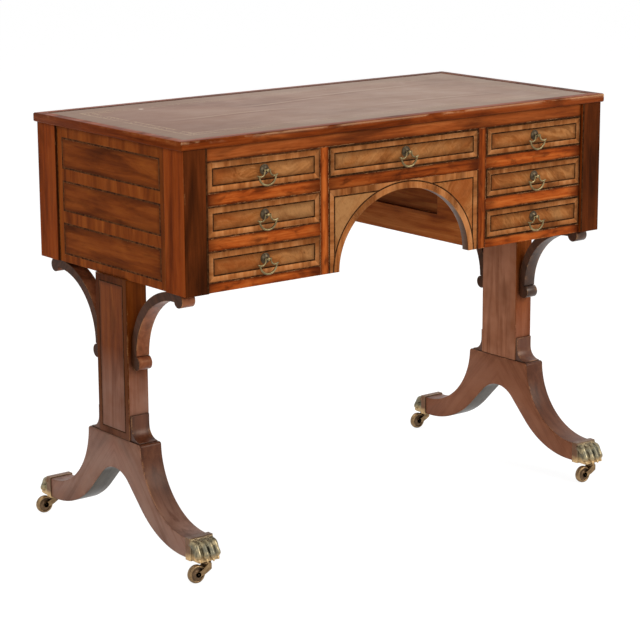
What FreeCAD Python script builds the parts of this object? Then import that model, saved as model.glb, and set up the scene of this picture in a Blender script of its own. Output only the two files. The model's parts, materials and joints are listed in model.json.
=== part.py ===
import FreeCAD, Part
import os
from math import cos, pi, radians, sin, tan

V = FreeCAD.Vector

# Writing table on two column ends with sabre legs. Millimetres, X is the width, the front
# faces -Y, and the origin is on the floor under the middle of the top.

# Top
top_width = 980.0
top_depth = 470.0
table_height = 762.0
top_thickness = 16.0
border_width = 20.0
leather_thickness = 1.5
edge_bevel = 1.5

# Carcass
frieze_height = 23.0
post_width = 48.0
post_depth = 61.0
post_end_inset = 6.0
post_front_inset = 2.0
post_arris = 1.2
front_setback = 5.0
end_setback = 4.0
end_panel_thickness = 16.0
back_thickness = 15.0
rail_depth = 20.0
rail_height = 22.0
bottom_rail_height = 16.0
dust_board_thickness = 8.0
guide_height = 14.0

# Kneehole
kneehole_width = 350.0
mullion_width = 19.0
apron_thickness = 16.0
arch_half_width = 152.0
arch_rise = 133.0
wall_recess = 5.0
wall_stile_width = 94.0
wall_rail_height = 49.0

# Drawers
drawer_rows = 3
drawer_opening_height = 55.0
drawer_back_clearance = 29.0
drawer_gap = 0.5
drawer_front_thickness = 18.0
drawer_side_thickness = 8.0
drawer_back_thickness = 8.0
drawer_side_headroom = 3.0
drawer_bottom_thickness = 5.0
drawer_bottom_lift = 6.0
drawer_groove = 4.0
tail_count = 2
tail_length = 12.0
tail_neck = 12.0
tail_slope = 1.0 / 6.0

# Pins and the bores they run in
pin_sides = 8
pin_clearance = 0.06

# Ring pulls
pull_height = 30.0
rose_radius = 9.5
rose_rim = 1.6
rose_dome = 4.2
rose_sides = 16
pull_standoff = 10.0
eye_radius = 3.6
eye_end_radius = 2.6
eye_sides = 8
neck_radius = 2.4
ring_pin_radius = 1.2
ring_wire_radius = 1.5
ring_wire_sides = 6
ring_half_width = 18.0
ring_drop = 26.0
ring_shoulder_drop = 9.6
ring_arm_sag = 9.1
ring_arm_span_count = 3
ring_loop_span_count = 8
ring_tip_reach = 4.4
ring_tip_rise = 1.5
ring_tip_radius = 0.4
ring_eye_gap = 0.6

# End supports
column_thickness = 42.0
column_width = 100.0
column_arris = 1.2
base_top = 207.0
leg_thickness = 45.0
shoulder_half_width = 85.0
shoulder_chamfer = 3.0
leg_reach = 222.0
foot_bottom = 37.5
foot_height = 36.0
crotch_height = 147.0
crotch_radius = 60.0
underside_slope = radians(45.0)
underside_radius = 180.0
cove_height = 46.0
cove_radius = 24.5
cove_step = 3.5
cove_toe = 2.0
cove_width = 38.0
bracket_radius = 135.0
bracket_depth = 16.0
bracket_thickness = 27.0
scroll_radius = 12.5
scroll_reach = 13.0

# Brass paw caps
socket_depth = 14.0
socket_wall = 2.0
toe_count = 4
toe_radius = 7.4
toe_waist_radius = 6.4
claw_radius = 2.2
toe_pitch = 12.6
toe_splay = 1.1
toe_root = 9.0
toe_droop = radians(75.0)
toe_span_count = 4
toe_sides = 6
paw_length = 41.0
paw_instep = 23.0
instep_toe_height = 15.0
outer_toe_shortening = 4.0

# Casters
caster_offset = 28.0
caster_trail = 22.0
wheel_radius = 16.5
wheel_width = 11.0
wheel_bevel = 1.5
wheel_rim_radius = 14.5
wheel_hub_radius = 6.0
wheel_dish = 2.5
wheel_sides = 28
axle_radius = 2.2
cheek_thickness = 2.5
cheek_gap = 0.6
cheek_end_radius = 4.8
cheek_head_front = 5.0
cheek_head_back = 2.0
cheek_head_drop = 8.0
swivel_radius = 8.0
swivel_thickness = 4.5
swivel_sides = 12
swivel_gap = 0.4
king_pin_radius = 3.0
king_pin_length = 14.0

# Places that follow from the sizes above
half_width = top_width / 2
half_depth = top_depth / 2
top_underside = table_height - top_thickness
post_x1 = half_width - post_end_inset
post_x0 = post_x1 - post_width
post_y1 = half_depth - post_front_inset
post_y0 = post_y1 - post_depth
front_y = post_y1 - front_setback
frame_y = front_y - rail_depth
back_y = front_y - back_thickness
end_x1 = post_x1 - end_setback
end_x0 = end_x1 - end_panel_thickness
kneehole_x = kneehole_width / 2
bank_x = kneehole_x + mullion_width
rows_top = top_underside - frieze_height
row_pitch = drawer_opening_height + rail_height
lowest_row_z = rows_top - drawer_rows * row_pitch + rail_height
row_z = [lowest_row_z + i * row_pitch for i in range(drawer_rows)]
carcass_bottom = lowest_row_z - bottom_rail_height
drawer_length = front_y + back_y - drawer_back_clearance
support_x = post_x1 - column_thickness / 2
column_y = column_width / 2
leg_end = leg_reach + socket_depth
foot_top = foot_bottom + foot_height
paw_bottom = foot_bottom - socket_wall
caster_y = leg_reach + caster_offset


def box(x0, x1, y0, y1, z0, z1):
    return Part.makeBox(x1 - x0, y1 - y0, z1 - z0, V(x0, y0, z0))


def flat_face(points):
    return Part.Face(Part.makePolygon(points + points[:1]))


def prism(points, step):
    return flat_face(points).extrude(step)


def at_x(x, points):
    return [V(x, y, z) for y, z in points]


def board(x, thickness, *steps):
    """A board along X with an outline of (Y, Z) steps: a line's end, or an arc's middle and end."""
    edges = []
    here = V(x, *steps[0])
    for step in steps[1:] + steps[:1]:
        if isinstance(step[0], tuple):
            middle, there = at_x(x, step)
            edges.append(Part.Arc(here, middle, there).toShape())
        else:
            there = V(x, *step)
            edges.append(Part.makeLine(here, there))
        here = there
    return Part.Face(Part.Wire(edges)).extrude(V(thickness, 0, 0))


def sided_ring(centre, u, v, radius, sides):
    """The corners of a many-sided ring in the plane of the directions u and v."""
    angles = [2 * pi * i / sides for i in range(sides)]
    return [centre + u * (radius * cos(a)) + v * (radius * sin(a)) for a in angles]


def skinned(rings):
    """A solid with flat faces between rings of equally many corners, closed at both ends."""
    faces = [flat_face(rings[0]), flat_face(rings[-1])]
    for ring_a, ring_b in zip(rings, rings[1:]):
        for i in range(len(ring_a)):
            faces.append(flat_face([ring_a[i - 1], ring_a[i], ring_b[i]]))
            faces.append(flat_face([ring_a[i - 1], ring_b[i], ring_b[i - 1]]))
    solid = Part.Solid(Part.Shell(faces).removeSplitter())
    if solid.Volume < 0:
        solid.reverse()
    return solid


def turned(centre, axis, u, v, sides, steps):
    """A many-sided turned piece through steps of (place on the axis, radius)."""
    return skinned([sided_ring(centre + axis * place, u, v, radius, sides) for place, radius in steps])


def pin(start, axis, u, v, radius, length):
    return turned(start, axis, u, v, pin_sides, [(0, radius), (length, radius)])


def bore(start, axis, u, v, pin_radius, length):
    """A bore whose flat sides clear the corners of its pin."""
    return pin(start, axis, u, v, (pin_radius + pin_clearance) / cos(pi / pin_sides), length)


def flip_x(shape):
    return shape.mirror(V(0, 0, 0), V(1, 0, 0))


def flip_y(shape):
    return shape.mirror(V(0, 0, 0), V(0, 1, 0))


def four_corners(shape):
    """The piece of the right back corner and its three mirror images."""
    back = [shape, flip_x(shape)]
    return back + [flip_y(s) for s in back]


def bevelled(solid, size, wanted):
    """Bevels the edges whose middle point the test picks out."""
    return solid.makeChamfer(size, [e for e in solid.Edges if wanted(e.CenterOfMass)])


def near(a, b):
    return abs(a - b) < 1e-6


def save(node, *solids):
    shape = solids[0] if len(solids) == 1 else Part.makeCompound(list(solids))
    shape.exportStep("parts/" + node + ".step")


# Top: a core board in a mitred border, with the writing leather let in flush
def build_top():
    x = half_width - border_width
    y = half_depth - border_width
    leather_z = table_height - leather_thickness
    save("top_core", box(-x, x, -y, y, top_underside, leather_z))
    save("leather_inset", box(-x, x, -y, y, leather_z, table_height))
    outer = [(half_width, half_depth), (-half_width, half_depth), (-half_width, -half_depth),
             (half_width, -half_depth)]
    inner = [(x, y), (-x, y), (-x, -y), (x, -y)]
    strips = []
    for i in range(4):
        j = (i + 1) % 4
        plan = [outer[i], outer[j], inner[j], inner[i]]
        strip = prism([V(px, py, top_underside) for px, py in plan], V(0, 0, top_thickness))
        mid_x = (outer[i][0] + outer[j][0]) / 2
        mid_y = (outer[i][1] + outer[j][1]) / 2

        def outer_long_edge(c):
            return near(c.x, mid_x) and near(c.y, mid_y)

        strips.append(bevelled(strip, edge_bevel, outer_long_edge))
    save("top_border", *strips)


# Carcass: posts, panels, rails, and the boards that the drawers run on
def build_carcass():
    post = box(post_x0, post_x1, post_y0, post_y1, carcass_bottom, top_underside)
    mid_z = (carcass_bottom + top_underside) / 2
    post = bevelled(post, post_arris, lambda c: near(c.z, mid_z) and near(c.x, post_x1))
    save("corner_posts", *four_corners(post))

    end = box(end_x0, end_x1, -post_y0, post_y0, carcass_bottom, top_underside)
    save("end_panel_right", end)
    save("end_panel_left", flip_x(end))

    back = box(-post_x0, post_x0, back_y, front_y, carcass_bottom, top_underside)
    save("back_panel", back.cut(arch_cutter()))

    save("frieze_rail", box(-post_x0, post_x0, -front_y, -frame_y, rows_top, top_underside))
    rails = [box(-kneehole_x, kneehole_x, -front_y, -frame_y, row_z[-1] - rail_height, row_z[-1])]
    for i, z in enumerate(row_z):
        low = carcass_bottom if i == 0 else z - rail_height
        rail = box(bank_x, post_x0, -front_y, -frame_y, low, z)
        rails += [rail, flip_x(rail)]
    save("drawer_rails", *rails)

    mullion = box(kneehole_x, bank_x, -front_y, -frame_y, carcass_bottom, rows_top)
    save("mullions", mullion, flip_x(mullion))

    apron = box(-kneehole_x, kneehole_x, -front_y, -front_y + apron_thickness,
                carcass_bottom, row_z[-1] - rail_height)
    save("arch_apron", apron.cut(arch_cutter()))

    board_z = row_z[-1] - dust_board_thickness
    wall = box(kneehole_x, bank_x, -frame_y, back_y, carcass_bottom, top_underside)
    panel = box(kneehole_x, kneehole_x + wall_recess, -frame_y + wall_stile_width, back_y,
                carcass_bottom + wall_rail_height, board_z)
    wall = wall.cut(panel)
    save("kneehole_side_right", wall)
    save("kneehole_side_left", flip_x(wall))

    boards = [box(-kneehole_x, kneehole_x, -frame_y, back_y, board_z, row_z[-1])]
    guides = []
    for z in row_z:
        dust_board = box(bank_x, post_x0, -frame_y, back_y, z - dust_board_thickness, z)
        boards += [dust_board, flip_x(dust_board)]
        guide = box(post_x0, end_x0, -post_y0, post_y0, z - dust_board_thickness, z + guide_height)
        guides += [guide, flip_x(guide)]
    save("dust_boards", *boards)
    save("drawer_guides", *guides)


def arch_cutter():
    """A half ellipse over the kneehole, through the whole depth."""
    foot = carcass_bottom
    tall = V(0, -half_depth, foot + arch_rise)
    wide = V(arch_half_width, -half_depth, foot)
    long_axis, short_axis = (wide, tall) if arch_half_width >= arch_rise else (tall, wide)
    ellipse = Part.Ellipse(long_axis, short_axis, V(0, -half_depth, foot))
    return Part.Face(Part.Wire(ellipse.toShape())).extrude(V(0, top_depth, 0))


# Drawers: modelled about the middle of the front's lower edge, with the front face at Y = 0
def dovetails(x0, x1, neck_y, tip_y, height):
    """Tails that widen from neck_y to tip_y, spread over the side's height."""
    flare = abs(tip_y - neck_y) * tail_slope
    tails = []
    for i in range(tail_count):
        middle = height * (i + 0.5) / tail_count
        low = middle - tail_neck / 2
        high = middle + tail_neck / 2
        points = [(neck_y, low), (neck_y, high), (tip_y, high + flare), (tip_y, low - flare)]
        tails.append(prism(at_x(x0, points), V(x1 - x0, 0, 0)))
    return tails


def drawer_pieces(width):
    """The front, and the box of two sides, back and bottom."""
    x1 = width / 2
    x0 = x1 - drawer_side_thickness
    side_height = drawer_opening_height - drawer_side_headroom
    front_neck = drawer_front_thickness
    front_tip = drawer_front_thickness - tail_length
    back_neck = drawer_length - drawer_back_thickness
    floor_top = drawer_bottom_lift + drawer_bottom_thickness
    groove_x = x0 + drawer_groove
    floor = box(-groove_x, groove_x, front_neck - drawer_groove, drawer_length,
                drawer_bottom_lift, floor_top)

    front_tails = dovetails(x0, x1, front_neck, front_tip, side_height)
    back_tails = dovetails(x0, x1, back_neck, drawer_length, side_height)
    side = box(x0, x1, front_neck, back_neck, 0, side_height).multiFuse(front_tails + back_tails)
    side = side.cut(floor).removeSplitter()
    sides = [side, flip_x(side)]

    front = box(-x1, x1, 0, drawer_front_thickness,
                drawer_gap, drawer_opening_height - drawer_gap)
    front = front.cut(Part.makeCompound(sides + [floor]))
    back = box(-x1, x1, back_neck, drawer_length, floor_top, side_height)
    back = back.cut(Part.makeCompound(sides))
    return front, sides + [back, floor]


def rose():
    """Domed rose on the front's face, with the neck and barrel eye that carry the ring."""
    steps = [(0, rose_radius)]
    for turn in (0, pi / 4, pi / 2):
        steps.append((rose_rim + rose_dome * sin(turn),
                      neck_radius + (rose_radius - neck_radius) * cos(turn)))
    steps.append((pull_standoff, neck_radius))
    dome = turned(V(0, 0, 0), V(0, -1, 0), V(1, 0, 0), V(0, 0, 1), rose_sides, steps)
    middle = V(0, -pull_standoff, 0)
    barrel = turned(middle, V(1, 0, 0), V(0, 1, 0), V(0, 0, 1), eye_sides,
                    [(-eye_radius, eye_end_radius), (0, eye_radius), (eye_radius, eye_end_radius)])
    hole = bore(middle - V(eye_radius, 0, 0), V(1, 0, 0), V(0, 1, 0), V(0, 0, 1),
                ring_pin_radius, 2 * eye_radius)
    return dome.fuse(barrel).cut(hole).removeSplitter()


def along(curve, spans):
    """Evenly spaced points on a curve, its start left out."""
    length = curve.LastParameter - curve.FirstParameter
    return [curve.value(curve.FirstParameter + length * (i + 1) / spans) for i in range(spans)]


def bent_wire(points, radius, sides):
    """Wire along points in the X and Z plane, mitred at every bend."""
    rings = []
    for i, point in enumerate(points):
        before = (point - points[i - 1]).normalize() if i > 0 else (points[1] - point).normalize()
        after = (points[i + 1] - point).normalize() if i + 1 < len(points) else before
        onward = (before + after).normalize()
        mitre = onward.cross(V(0, 1, 0)) * (1 / onward.dot(before))
        rings.append(sided_ring(point, mitre, V(0, 1, 0), radius, sides))
    return skinned(rings)


def ring():
    """Drop ring: a half round loop whose shoulders turn out to points, on two arms and a pin."""
    y = -pull_standoff
    arm_x = eye_radius + ring_eye_gap + ring_wire_radius
    head = V(arm_x, y, 0)
    shoulder = V(ring_half_width, y, -ring_shoulder_drop)
    belly = V((arm_x + ring_half_width - ring_tip_reach) / 2, y, -ring_arm_sag)
    bow = Part.Arc(head, belly, shoulder)
    arm = [V(arm_x, y, ring_wire_radius), head] + along(bow, ring_arm_span_count)
    left_shoulder = V(-ring_half_width, y, -ring_shoulder_drop)
    loop = along(Part.Arc(shoulder, V(0, y, -ring_drop), left_shoulder), ring_loop_span_count)
    left_arm = [V(-p.x, p.y, p.z) for p in reversed(arm[:-1])]
    wire = bent_wire(arm + loop + left_arm, ring_wire_radius, ring_wire_sides)
    reach = V(ring_tip_reach, 0, ring_tip_rise)
    outward = V(reach).normalize()
    tip = turned(shoulder, outward, outward.cross(V(0, 1, 0)), V(0, 1, 0), ring_wire_sides,
                 [(0, ring_wire_radius), (reach.Length, ring_tip_radius)])
    hinge = pin(V(-arm_x, y, 0), V(1, 0, 0), V(0, 1, 0), V(0, 0, 1), ring_pin_radius, 2 * arm_x)
    return wire.multiFuse([hinge, tip, flip_x(tip)]).removeSplitter()


def build_drawers():
    bank_middle = (bank_x + post_x0) / 2
    bank_width = post_x0 - bank_x - 2 * drawer_gap
    spots = {"centre": (0, row_z[-1], kneehole_width - 2 * drawer_gap)}
    for side, sign in (("left", -1), ("right", 1)):
        for i, z in enumerate(reversed(row_z)):
            spots[side + "_" + str(i + 1)] = (sign * bank_middle, z, bank_width)
    for name, (x, z, width) in spots.items():
        front, pieces = drawer_pieces(width)
        place = V(x, -front_y, z)
        pull = V(x, -front_y, z + pull_height)
        save("drawer_" + name + "_front", front.translated(place))
        save("drawer_" + name + "_box", *[p.translated(place) for p in pieces])
        save("drawer_" + name + "_rose", rose().translated(pull))
        save("drawer_" + name + "_ring", ring().translated(pull))


# End supports: column, two sabre legs, coves at the foot and scroll brackets at the head
def leg():
    """The right back leg: half of the inverted Y, from its middle to the cap's socket."""
    half_slope = underside_slope / 2
    slope_y = crotch_radius * sin(underside_slope)
    slope_z = crotch_height - crotch_radius * (1 - cos(underside_slope))
    crotch_middle = (crotch_radius * sin(half_slope),
                     crotch_height - crotch_radius * (1 - cos(half_slope)))
    low_z = foot_bottom + underside_radius * (1 - cos(underside_slope))
    low_y = slope_y + (slope_z - low_z) / tan(underside_slope)
    flat_y = low_y + underside_radius * sin(underside_slope)
    underside_middle = (flat_y - underside_radius * sin(half_slope),
                        foot_bottom + underside_radius * (1 - cos(half_slope)))
    shoulder_z = base_top - shoulder_chamfer
    back_middle = (leg_reach - (leg_reach - shoulder_half_width) * cos(pi / 4),
                   shoulder_z - (shoulder_z - foot_top) * sin(pi / 4))
    return board(support_x - leg_thickness / 2, leg_thickness,
                 (0, base_top),
                 (0, crotch_height),
                 (crotch_middle, (slope_y, slope_z)),
                 (low_y, low_z),
                 (underside_middle, (flat_y, foot_bottom)),
                 (leg_end, foot_bottom),
                 (leg_end, foot_top),
                 (leg_reach, foot_top),
                 (back_middle, (shoulder_half_width, shoulder_z)),
                 (shoulder_half_width - shoulder_chamfer, base_top))


def cove():
    """Cove block in the corner between the column's foot and the legs' shoulder."""
    head = base_top + cove_height
    face = column_y + cove_step
    bend = base_top + cove_toe + cove_radius
    toe_y = face + cove_radius
    middle = cove_radius * cos(pi / 4)
    return board(support_x - cove_width / 2, cove_width,
                 (column_y, base_top),
                 (column_y, head),
                 (face, head),
                 (face, bend),
                 ((toe_y - middle, bend - middle), (toe_y, base_top + cove_toe)),
                 (toe_y, base_top))


def bracket():
    """Quarter round bracket that ends in a scroll under the post and one on the column."""
    x = support_x - bracket_thickness / 2
    mid_y = column_y + bracket_radius
    mid_z = carcass_bottom - bracket_radius
    inner = bracket_radius - bracket_depth
    bend = cos(pi / 4)
    bow = board(x, bracket_thickness,
                (column_y, mid_z),
                ((mid_y - bracket_radius * bend, mid_z + bracket_radius * bend), (mid_y, carcass_bottom)),
                (mid_y, carcass_bottom - bracket_depth),
                ((mid_y - inner * bend, mid_z + inner * bend), (column_y + bracket_depth, mid_z)))
    low_y = column_y + scroll_radius
    low_z = mid_z - scroll_reach
    high_y = mid_y + scroll_reach
    high_z = carcass_bottom - scroll_radius
    scrolls = [Part.makeCylinder(scroll_radius, bracket_thickness, V(x, low_y, low_z), V(1, 0, 0)),
               Part.makeCylinder(scroll_radius, bracket_thickness, V(x, high_y, high_z), V(1, 0, 0))]
    necks = [box(x, x + bracket_thickness, column_y, low_y, low_z, mid_z),
             box(x, x + bracket_thickness, mid_y, high_y, high_z, carcass_bottom)]
    return bow.multiFuse(scrolls + necks).removeSplitter()


def build_supports():
    x0 = support_x - column_thickness / 2
    x1 = support_x + column_thickness / 2
    column = box(x0, x1, -column_y, column_y, base_top, carcass_bottom)
    mid_z = (base_top + carcass_bottom) / 2
    column = bevelled(column, column_arris, lambda c: near(c.z, mid_z))
    save("column_right", column)
    save("column_left", flip_x(column))
    names = ("leg_right_back", "leg_left_back", "leg_right_front", "leg_left_front")
    for name, solid in zip(names, four_corners(leg())):
        save(name, solid)
    save("foot_coves", *four_corners(cove()))
    save("brackets", *four_corners(bracket()))


# Brass paw caps: a box socket on the leg's end, an instep, and toes with claws
def toe(x, length):
    """One toe: rings that swell at two knuckles, bend down and close on the claw."""
    high = foot_top - toe_radius
    low = paw_bottom + claw_radius
    rings = []
    for i in range(toe_span_count + 1):
        share = i / toe_span_count
        swell = (1 + cos(4 * pi * share)) / 2
        girth = toe_waist_radius + (toe_radius - toe_waist_radius) * swell
        droop = toe_droop * share
        centre = V(support_x + x + toe_splay * share * x / toe_pitch,
                   leg_reach + toe_root + (length - toe_root) * sin(share * pi / 2),
                   low + (high - low) * cos(share * pi / 2))
        rings.append(sided_ring(centre, V(1, 0, 0), V(0, sin(droop), cos(droop)),
                                claw_radius if i == toe_span_count else girth, toe_sides))
    return skinned(rings)


def paw_cap():
    x0 = support_x - leg_thickness / 2 - socket_wall
    x1 = support_x + leg_thickness / 2 + socket_wall
    socket = box(x0, x1, leg_reach, leg_end + socket_wall, paw_bottom, foot_top + socket_wall)
    sole_y = leg_reach + paw_length - toe_radius
    instep = board(x0 + socket_wall, leg_thickness,
                   (leg_end, paw_bottom),
                   (leg_end, foot_top),
                   (leg_reach + paw_instep, foot_top - socket_wall),
                   (sole_y, paw_bottom + instep_toe_height),
                   (sole_y, paw_bottom))
    toes = []
    for i in range(toe_count):
        x = (i - (toe_count - 1) / 2) * toe_pitch
        is_outer = i in (0, toe_count - 1)
        toes.append(toe(x, paw_length - outer_toe_shortening if is_outer else paw_length))
    cap = socket.multiFuse([instep] + toes)
    pocket = box(x0 + socket_wall, x1 - socket_wall, leg_reach, leg_end, foot_bottom, foot_top)
    pin_hole = bore(V(support_x, caster_y, paw_bottom), V(0, 0, 1), V(1, 0, 0), V(0, 1, 0),
                    king_pin_radius, king_pin_length + swivel_gap)
    under = box(x0 - foot_height, x1 + foot_height, 0, caster_y + paw_length,
                paw_bottom - foot_height, paw_bottom)
    return cap.cut(Part.makeCompound([pocket, pin_hole, under])).removeSplitter()


# Casters: modelled about the king pin's foot on the floor, trailing towards -X
def fork():
    plate_top = paw_bottom - swivel_gap
    plate_low = plate_top - swivel_thickness
    cheek_y = wheel_width / 2 + cheek_gap
    outer_y = cheek_y + cheek_thickness
    axle = V(-caster_trail, 0, wheel_radius)
    head_top = plate_low + swivel_thickness / 2
    head_low = plate_low - cheek_head_drop
    plate = turned(V(0, 0, plate_low), V(0, 0, 1), V(1, 0, 0), V(0, 1, 0), swivel_sides,
                   [(0, swivel_radius), (swivel_thickness, swivel_radius)])
    pieces = [pin(V(0, 0, plate_top), V(0, 0, 1), V(1, 0, 0), V(0, 1, 0),
                  king_pin_radius, king_pin_length),
              pin(axle - V(0, outer_y, 0), V(0, 1, 0), V(1, 0, 0), V(0, 0, 1),
                  axle_radius, 2 * outer_y),
              box(-cheek_head_back, cheek_head_front, -outer_y, outer_y, head_low, head_top)]
    end = [axle + V(sin(turn), 0, cos(turn)) * cheek_end_radius
           for turn in (-pi / 4, -pi / 2, -3 * pi / 4, -pi, -5 * pi / 4)]
    head = [V(cheek_head_front, 0, head_low), V(cheek_head_front, 0, head_top),
            V(-cheek_head_back, 0, head_top)]
    for y in (cheek_y, -outer_y):
        pieces.append(prism([p + V(0, y, 0) for p in end + head], V(0, cheek_thickness, 0)))
    return plate.multiFuse(pieces).removeSplitter()


def wheel():
    """Brass wheel with bevelled tread, dished on both sides, on an axle along Y."""
    half = wheel_width / 2
    outside = [(half - wheel_dish, wheel_hub_radius), (half, wheel_rim_radius),
               (half - wheel_bevel, wheel_radius)]
    steps = [(-place, radius) for place, radius in outside] + outside[::-1]
    axle = V(-caster_trail, 0, wheel_radius)
    disc = turned(axle, V(0, 1, 0), V(1, 0, 0), V(0, 0, 1), wheel_sides, steps)
    hole = bore(axle - V(0, half, 0), V(0, 1, 0), V(1, 0, 0), V(0, 0, 1), axle_radius, wheel_width)
    return disc.cut(hole)


def build_feet():
    save("paw_caps", *four_corners(paw_cap()))
    for side, x in (("left", -support_x), ("right", support_x)):
        for end, y in (("front", -caster_y), ("back", caster_y)):
            name = "caster_" + side + "_" + end
            save(name + "_fork", fork().translated(V(x, y, 0)))
            save(name + "_wheel", wheel().translated(V(x, y, 0)))


os.makedirs("parts", exist_ok=True)
build_top()
build_carcass()
build_drawers()
build_supports()
build_feet()
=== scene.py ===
import json
from cmath import phase, rect
from math import cos, exp, hypot, pi, radians, sin, sqrt

import bmesh
import bpy
from mathutils import Matrix, Vector


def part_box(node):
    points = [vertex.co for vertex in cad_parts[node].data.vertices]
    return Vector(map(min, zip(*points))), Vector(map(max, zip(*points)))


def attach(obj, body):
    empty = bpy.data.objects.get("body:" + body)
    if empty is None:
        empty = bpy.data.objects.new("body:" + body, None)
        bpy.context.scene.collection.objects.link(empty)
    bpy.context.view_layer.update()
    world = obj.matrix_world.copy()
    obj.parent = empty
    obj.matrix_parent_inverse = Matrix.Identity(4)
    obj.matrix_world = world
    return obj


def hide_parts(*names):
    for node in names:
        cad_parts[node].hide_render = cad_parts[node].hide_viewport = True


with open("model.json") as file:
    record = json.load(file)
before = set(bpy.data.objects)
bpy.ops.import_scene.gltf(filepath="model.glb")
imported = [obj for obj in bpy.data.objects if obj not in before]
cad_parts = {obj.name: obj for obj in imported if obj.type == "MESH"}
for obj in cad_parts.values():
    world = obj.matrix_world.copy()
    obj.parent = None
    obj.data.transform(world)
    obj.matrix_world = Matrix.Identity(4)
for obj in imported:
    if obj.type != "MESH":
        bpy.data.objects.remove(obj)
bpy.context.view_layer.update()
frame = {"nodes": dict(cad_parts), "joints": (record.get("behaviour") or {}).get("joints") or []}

# The looks of a mahogany writing table: veneers, stringing, leather, cast brass and light.
# Everything is in metres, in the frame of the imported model.

MM = 0.001
nodes = frame["nodes"]
SIDES = {"left": -1, "right": 1}
DRAWER_ROWS = (1, 2, 3)
DRAWERS = ["centre"] + [side + "_" + str(row) for side in SIDES for row in DRAWER_ROWS]
CORNERS = [side + "_" + end for side in SIDES for end in ("front", "back")]

# Openings: half widths across the front and levels up it, from the drawers' fronts
DRAWER_GAP = 0.5 * MM
bank_fronts = [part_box("drawer_right_" + str(row) + "_front") for row in DRAWER_ROWS]
OPENINGS = (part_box("drawer_centre_front")[1].x + DRAWER_GAP,
            bank_fronts[0][0].x - DRAWER_GAP, bank_fronts[0][1].x + DRAWER_GAP)
LEVELS = sorted(z for low, high in bank_fronts for z in (low.z - DRAWER_GAP, high.z + DRAWER_GAP))

# Camera: the photograph's viewing direction, distance, focal length in pixels and tilt
VIEW_AZIMUTH = radians(-38.012)
VIEW_ELEVATION = radians(13.161)
VIEW_ROLL = radians(-0.246)
VIEW_DISTANCE = 4.201
VIEW_TARGET = Vector((-0.0175, 0, 0.3497))
FOCAL_PIXELS = 2215.9
IMAGE_PIXELS = 640
SENSOR = 36.0
CLIP_END = 100

# Light: lamps are (name, place, target, size, power, colour)
WHITE = (1.0, 1.0, 1.0)
FLOOR_REACH = 40.0
FLOOR_SHARE = 0.75
FLOOR_WHITE = 1.22
FILL_STRENGTH = 0.36
LAMPS = (("key", (2.2, -3.6, 2.6), (0, 0, 0.5), (2.4, 2.0), 122, (1.0, 0.97, 0.93)),
         ("side", (-2.9, -2.6, 2.0), (-0.2, -0.2, 0.4), (2.0, 2.0), 40, (1.0, 0.98, 0.95)),
         ("overhead", (0.3, 1.0, 3.4), (0, 0, 0.7), (3.0, 2.4), 50, WHITE))

# Solids: a face looks along an axis when its normal's share of that axis is above STEEP
STEEP = 0.7
MITRE = 0.5
UNDERSIDE = -0.25
SHARP = radians(38)
WELD = 0.01 * MM
SKIN_WELD = 0.02 * MM
SKIN_FLAT = radians(1)
NODE_EASE = 0.7 * MM
TOP_EASE = 0.8 * MM
LEG_EASE = 1.6 * MM
CENTRE_RAIL_HALF = 100 * MM
WALL_MARGIN = 1 * MM

# Inlays
INLAY_LIFT = 0.2 * MM
LINE_LIFT = 1.5 * INLAY_LIFT
ARCH_LIFT = 2 * INLAY_LIFT
FIELD_LIFT = 0.35 * MM
BAND_LIFT = 0.6 * MM
FIELD_SHADE = 9 * MM
STRING_WIDTH = 2.5 * MM
EDGE_LINE = 2.2 * MM
# Wider edge line of the centre and right drawers: painted shadow of the gap
GAP_SHADOW_LINE = 3.2 * MM
BAND_WIDTH = 11.5 * MM
END_HALF = 156 * MM
END_STRING = 3.2 * MM
END_FIELDS = [(top * MM, bottom * MM) for top, bottom in ((725.5, 668.5), (647.5, 591.5), (570.5, 512.5))]
ARCH_HALF = 152 * MM
ARCH_RISE = 133 * MM
ARCH_BAND = 11.5 * MM
ARCH_STEPS = 72
COLUMN_STRING_INSET = 12 * MM
COLUMN_STRING_WIDTH = 1.8 * MM
COLUMN_FIELD_SHADE = 7 * MM
POST_STRING_REACH = 28 * MM
POST_STRING_INSET = 1.2 * MM
POST_STRING_WIDTH = 2.6 * MM
POST_STRING_FOOT = 0.7 * MM

# Leather: creases are (middle, half length, line, sway, turns)
LEATHER_WAVE = 0.25 * MM
LEATHER_COLUMNS = 120
LEATHER_ROWS = 300
CREASE_HEIGHT = 0.9 * MM
CREASE_WIDTH = 6.5 * MM
CREASES = ((-0.23, 0.15, -0.012, 0.003, 24.0), (-0.06, 0.13, 0.062, 0.01, 13.0),
           (0.15, 0.24, 0.085, 0.012, 6.0), (0.2, 0.18, -0.09, 0.01, 11.0))
TOOLED_INSET = 50 * MM
TOOLED_WIDTH = 18 * MM
TOOLED_LINE = 0.9 * MM
SCUFF_PLACE = (-0.311, 0.153)

# Ring pulls: the tip's steps are (place along it, share of the wire), the rose's (place, radius) in mm
RING_ARM_X = 5.7 * MM
RING_HALF = 18 * MM
RING_SHOULDER = 9.6 * MM
RING_DROP = 26 * MM
RING_WIRE = 1.8 * MM
RING_TIP = 4.4 * MM
RING_TIP_RISE = 0.34
RING_TIP_STEPS = ((-0.2, 0.9), (0.2, 0.95), (0.5, 0.8), (0.8, 0.52), (1.0, 0.2))
RING_BELLY = 9.1 * MM
RING_PIN = 1.2 * MM
LOOP_STEPS = 40
ARM_STEPS = 18
EYE_RADIUS = 3.5 * MM
BALL_STEPS = 12
BALL_POLE = 0.02 * MM
ROSE_PROFILE = ((0, 9.4), (1.0, 9.5), (1.5, 9.2), (1.6, 8.2), (2.1, 8.0), (2.9, 7.2), (4.0, 5.6), (5.0, 3.9),
                (5.7, 2.8), (6.3, 2.3), (7.2, 2.3))

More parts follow.
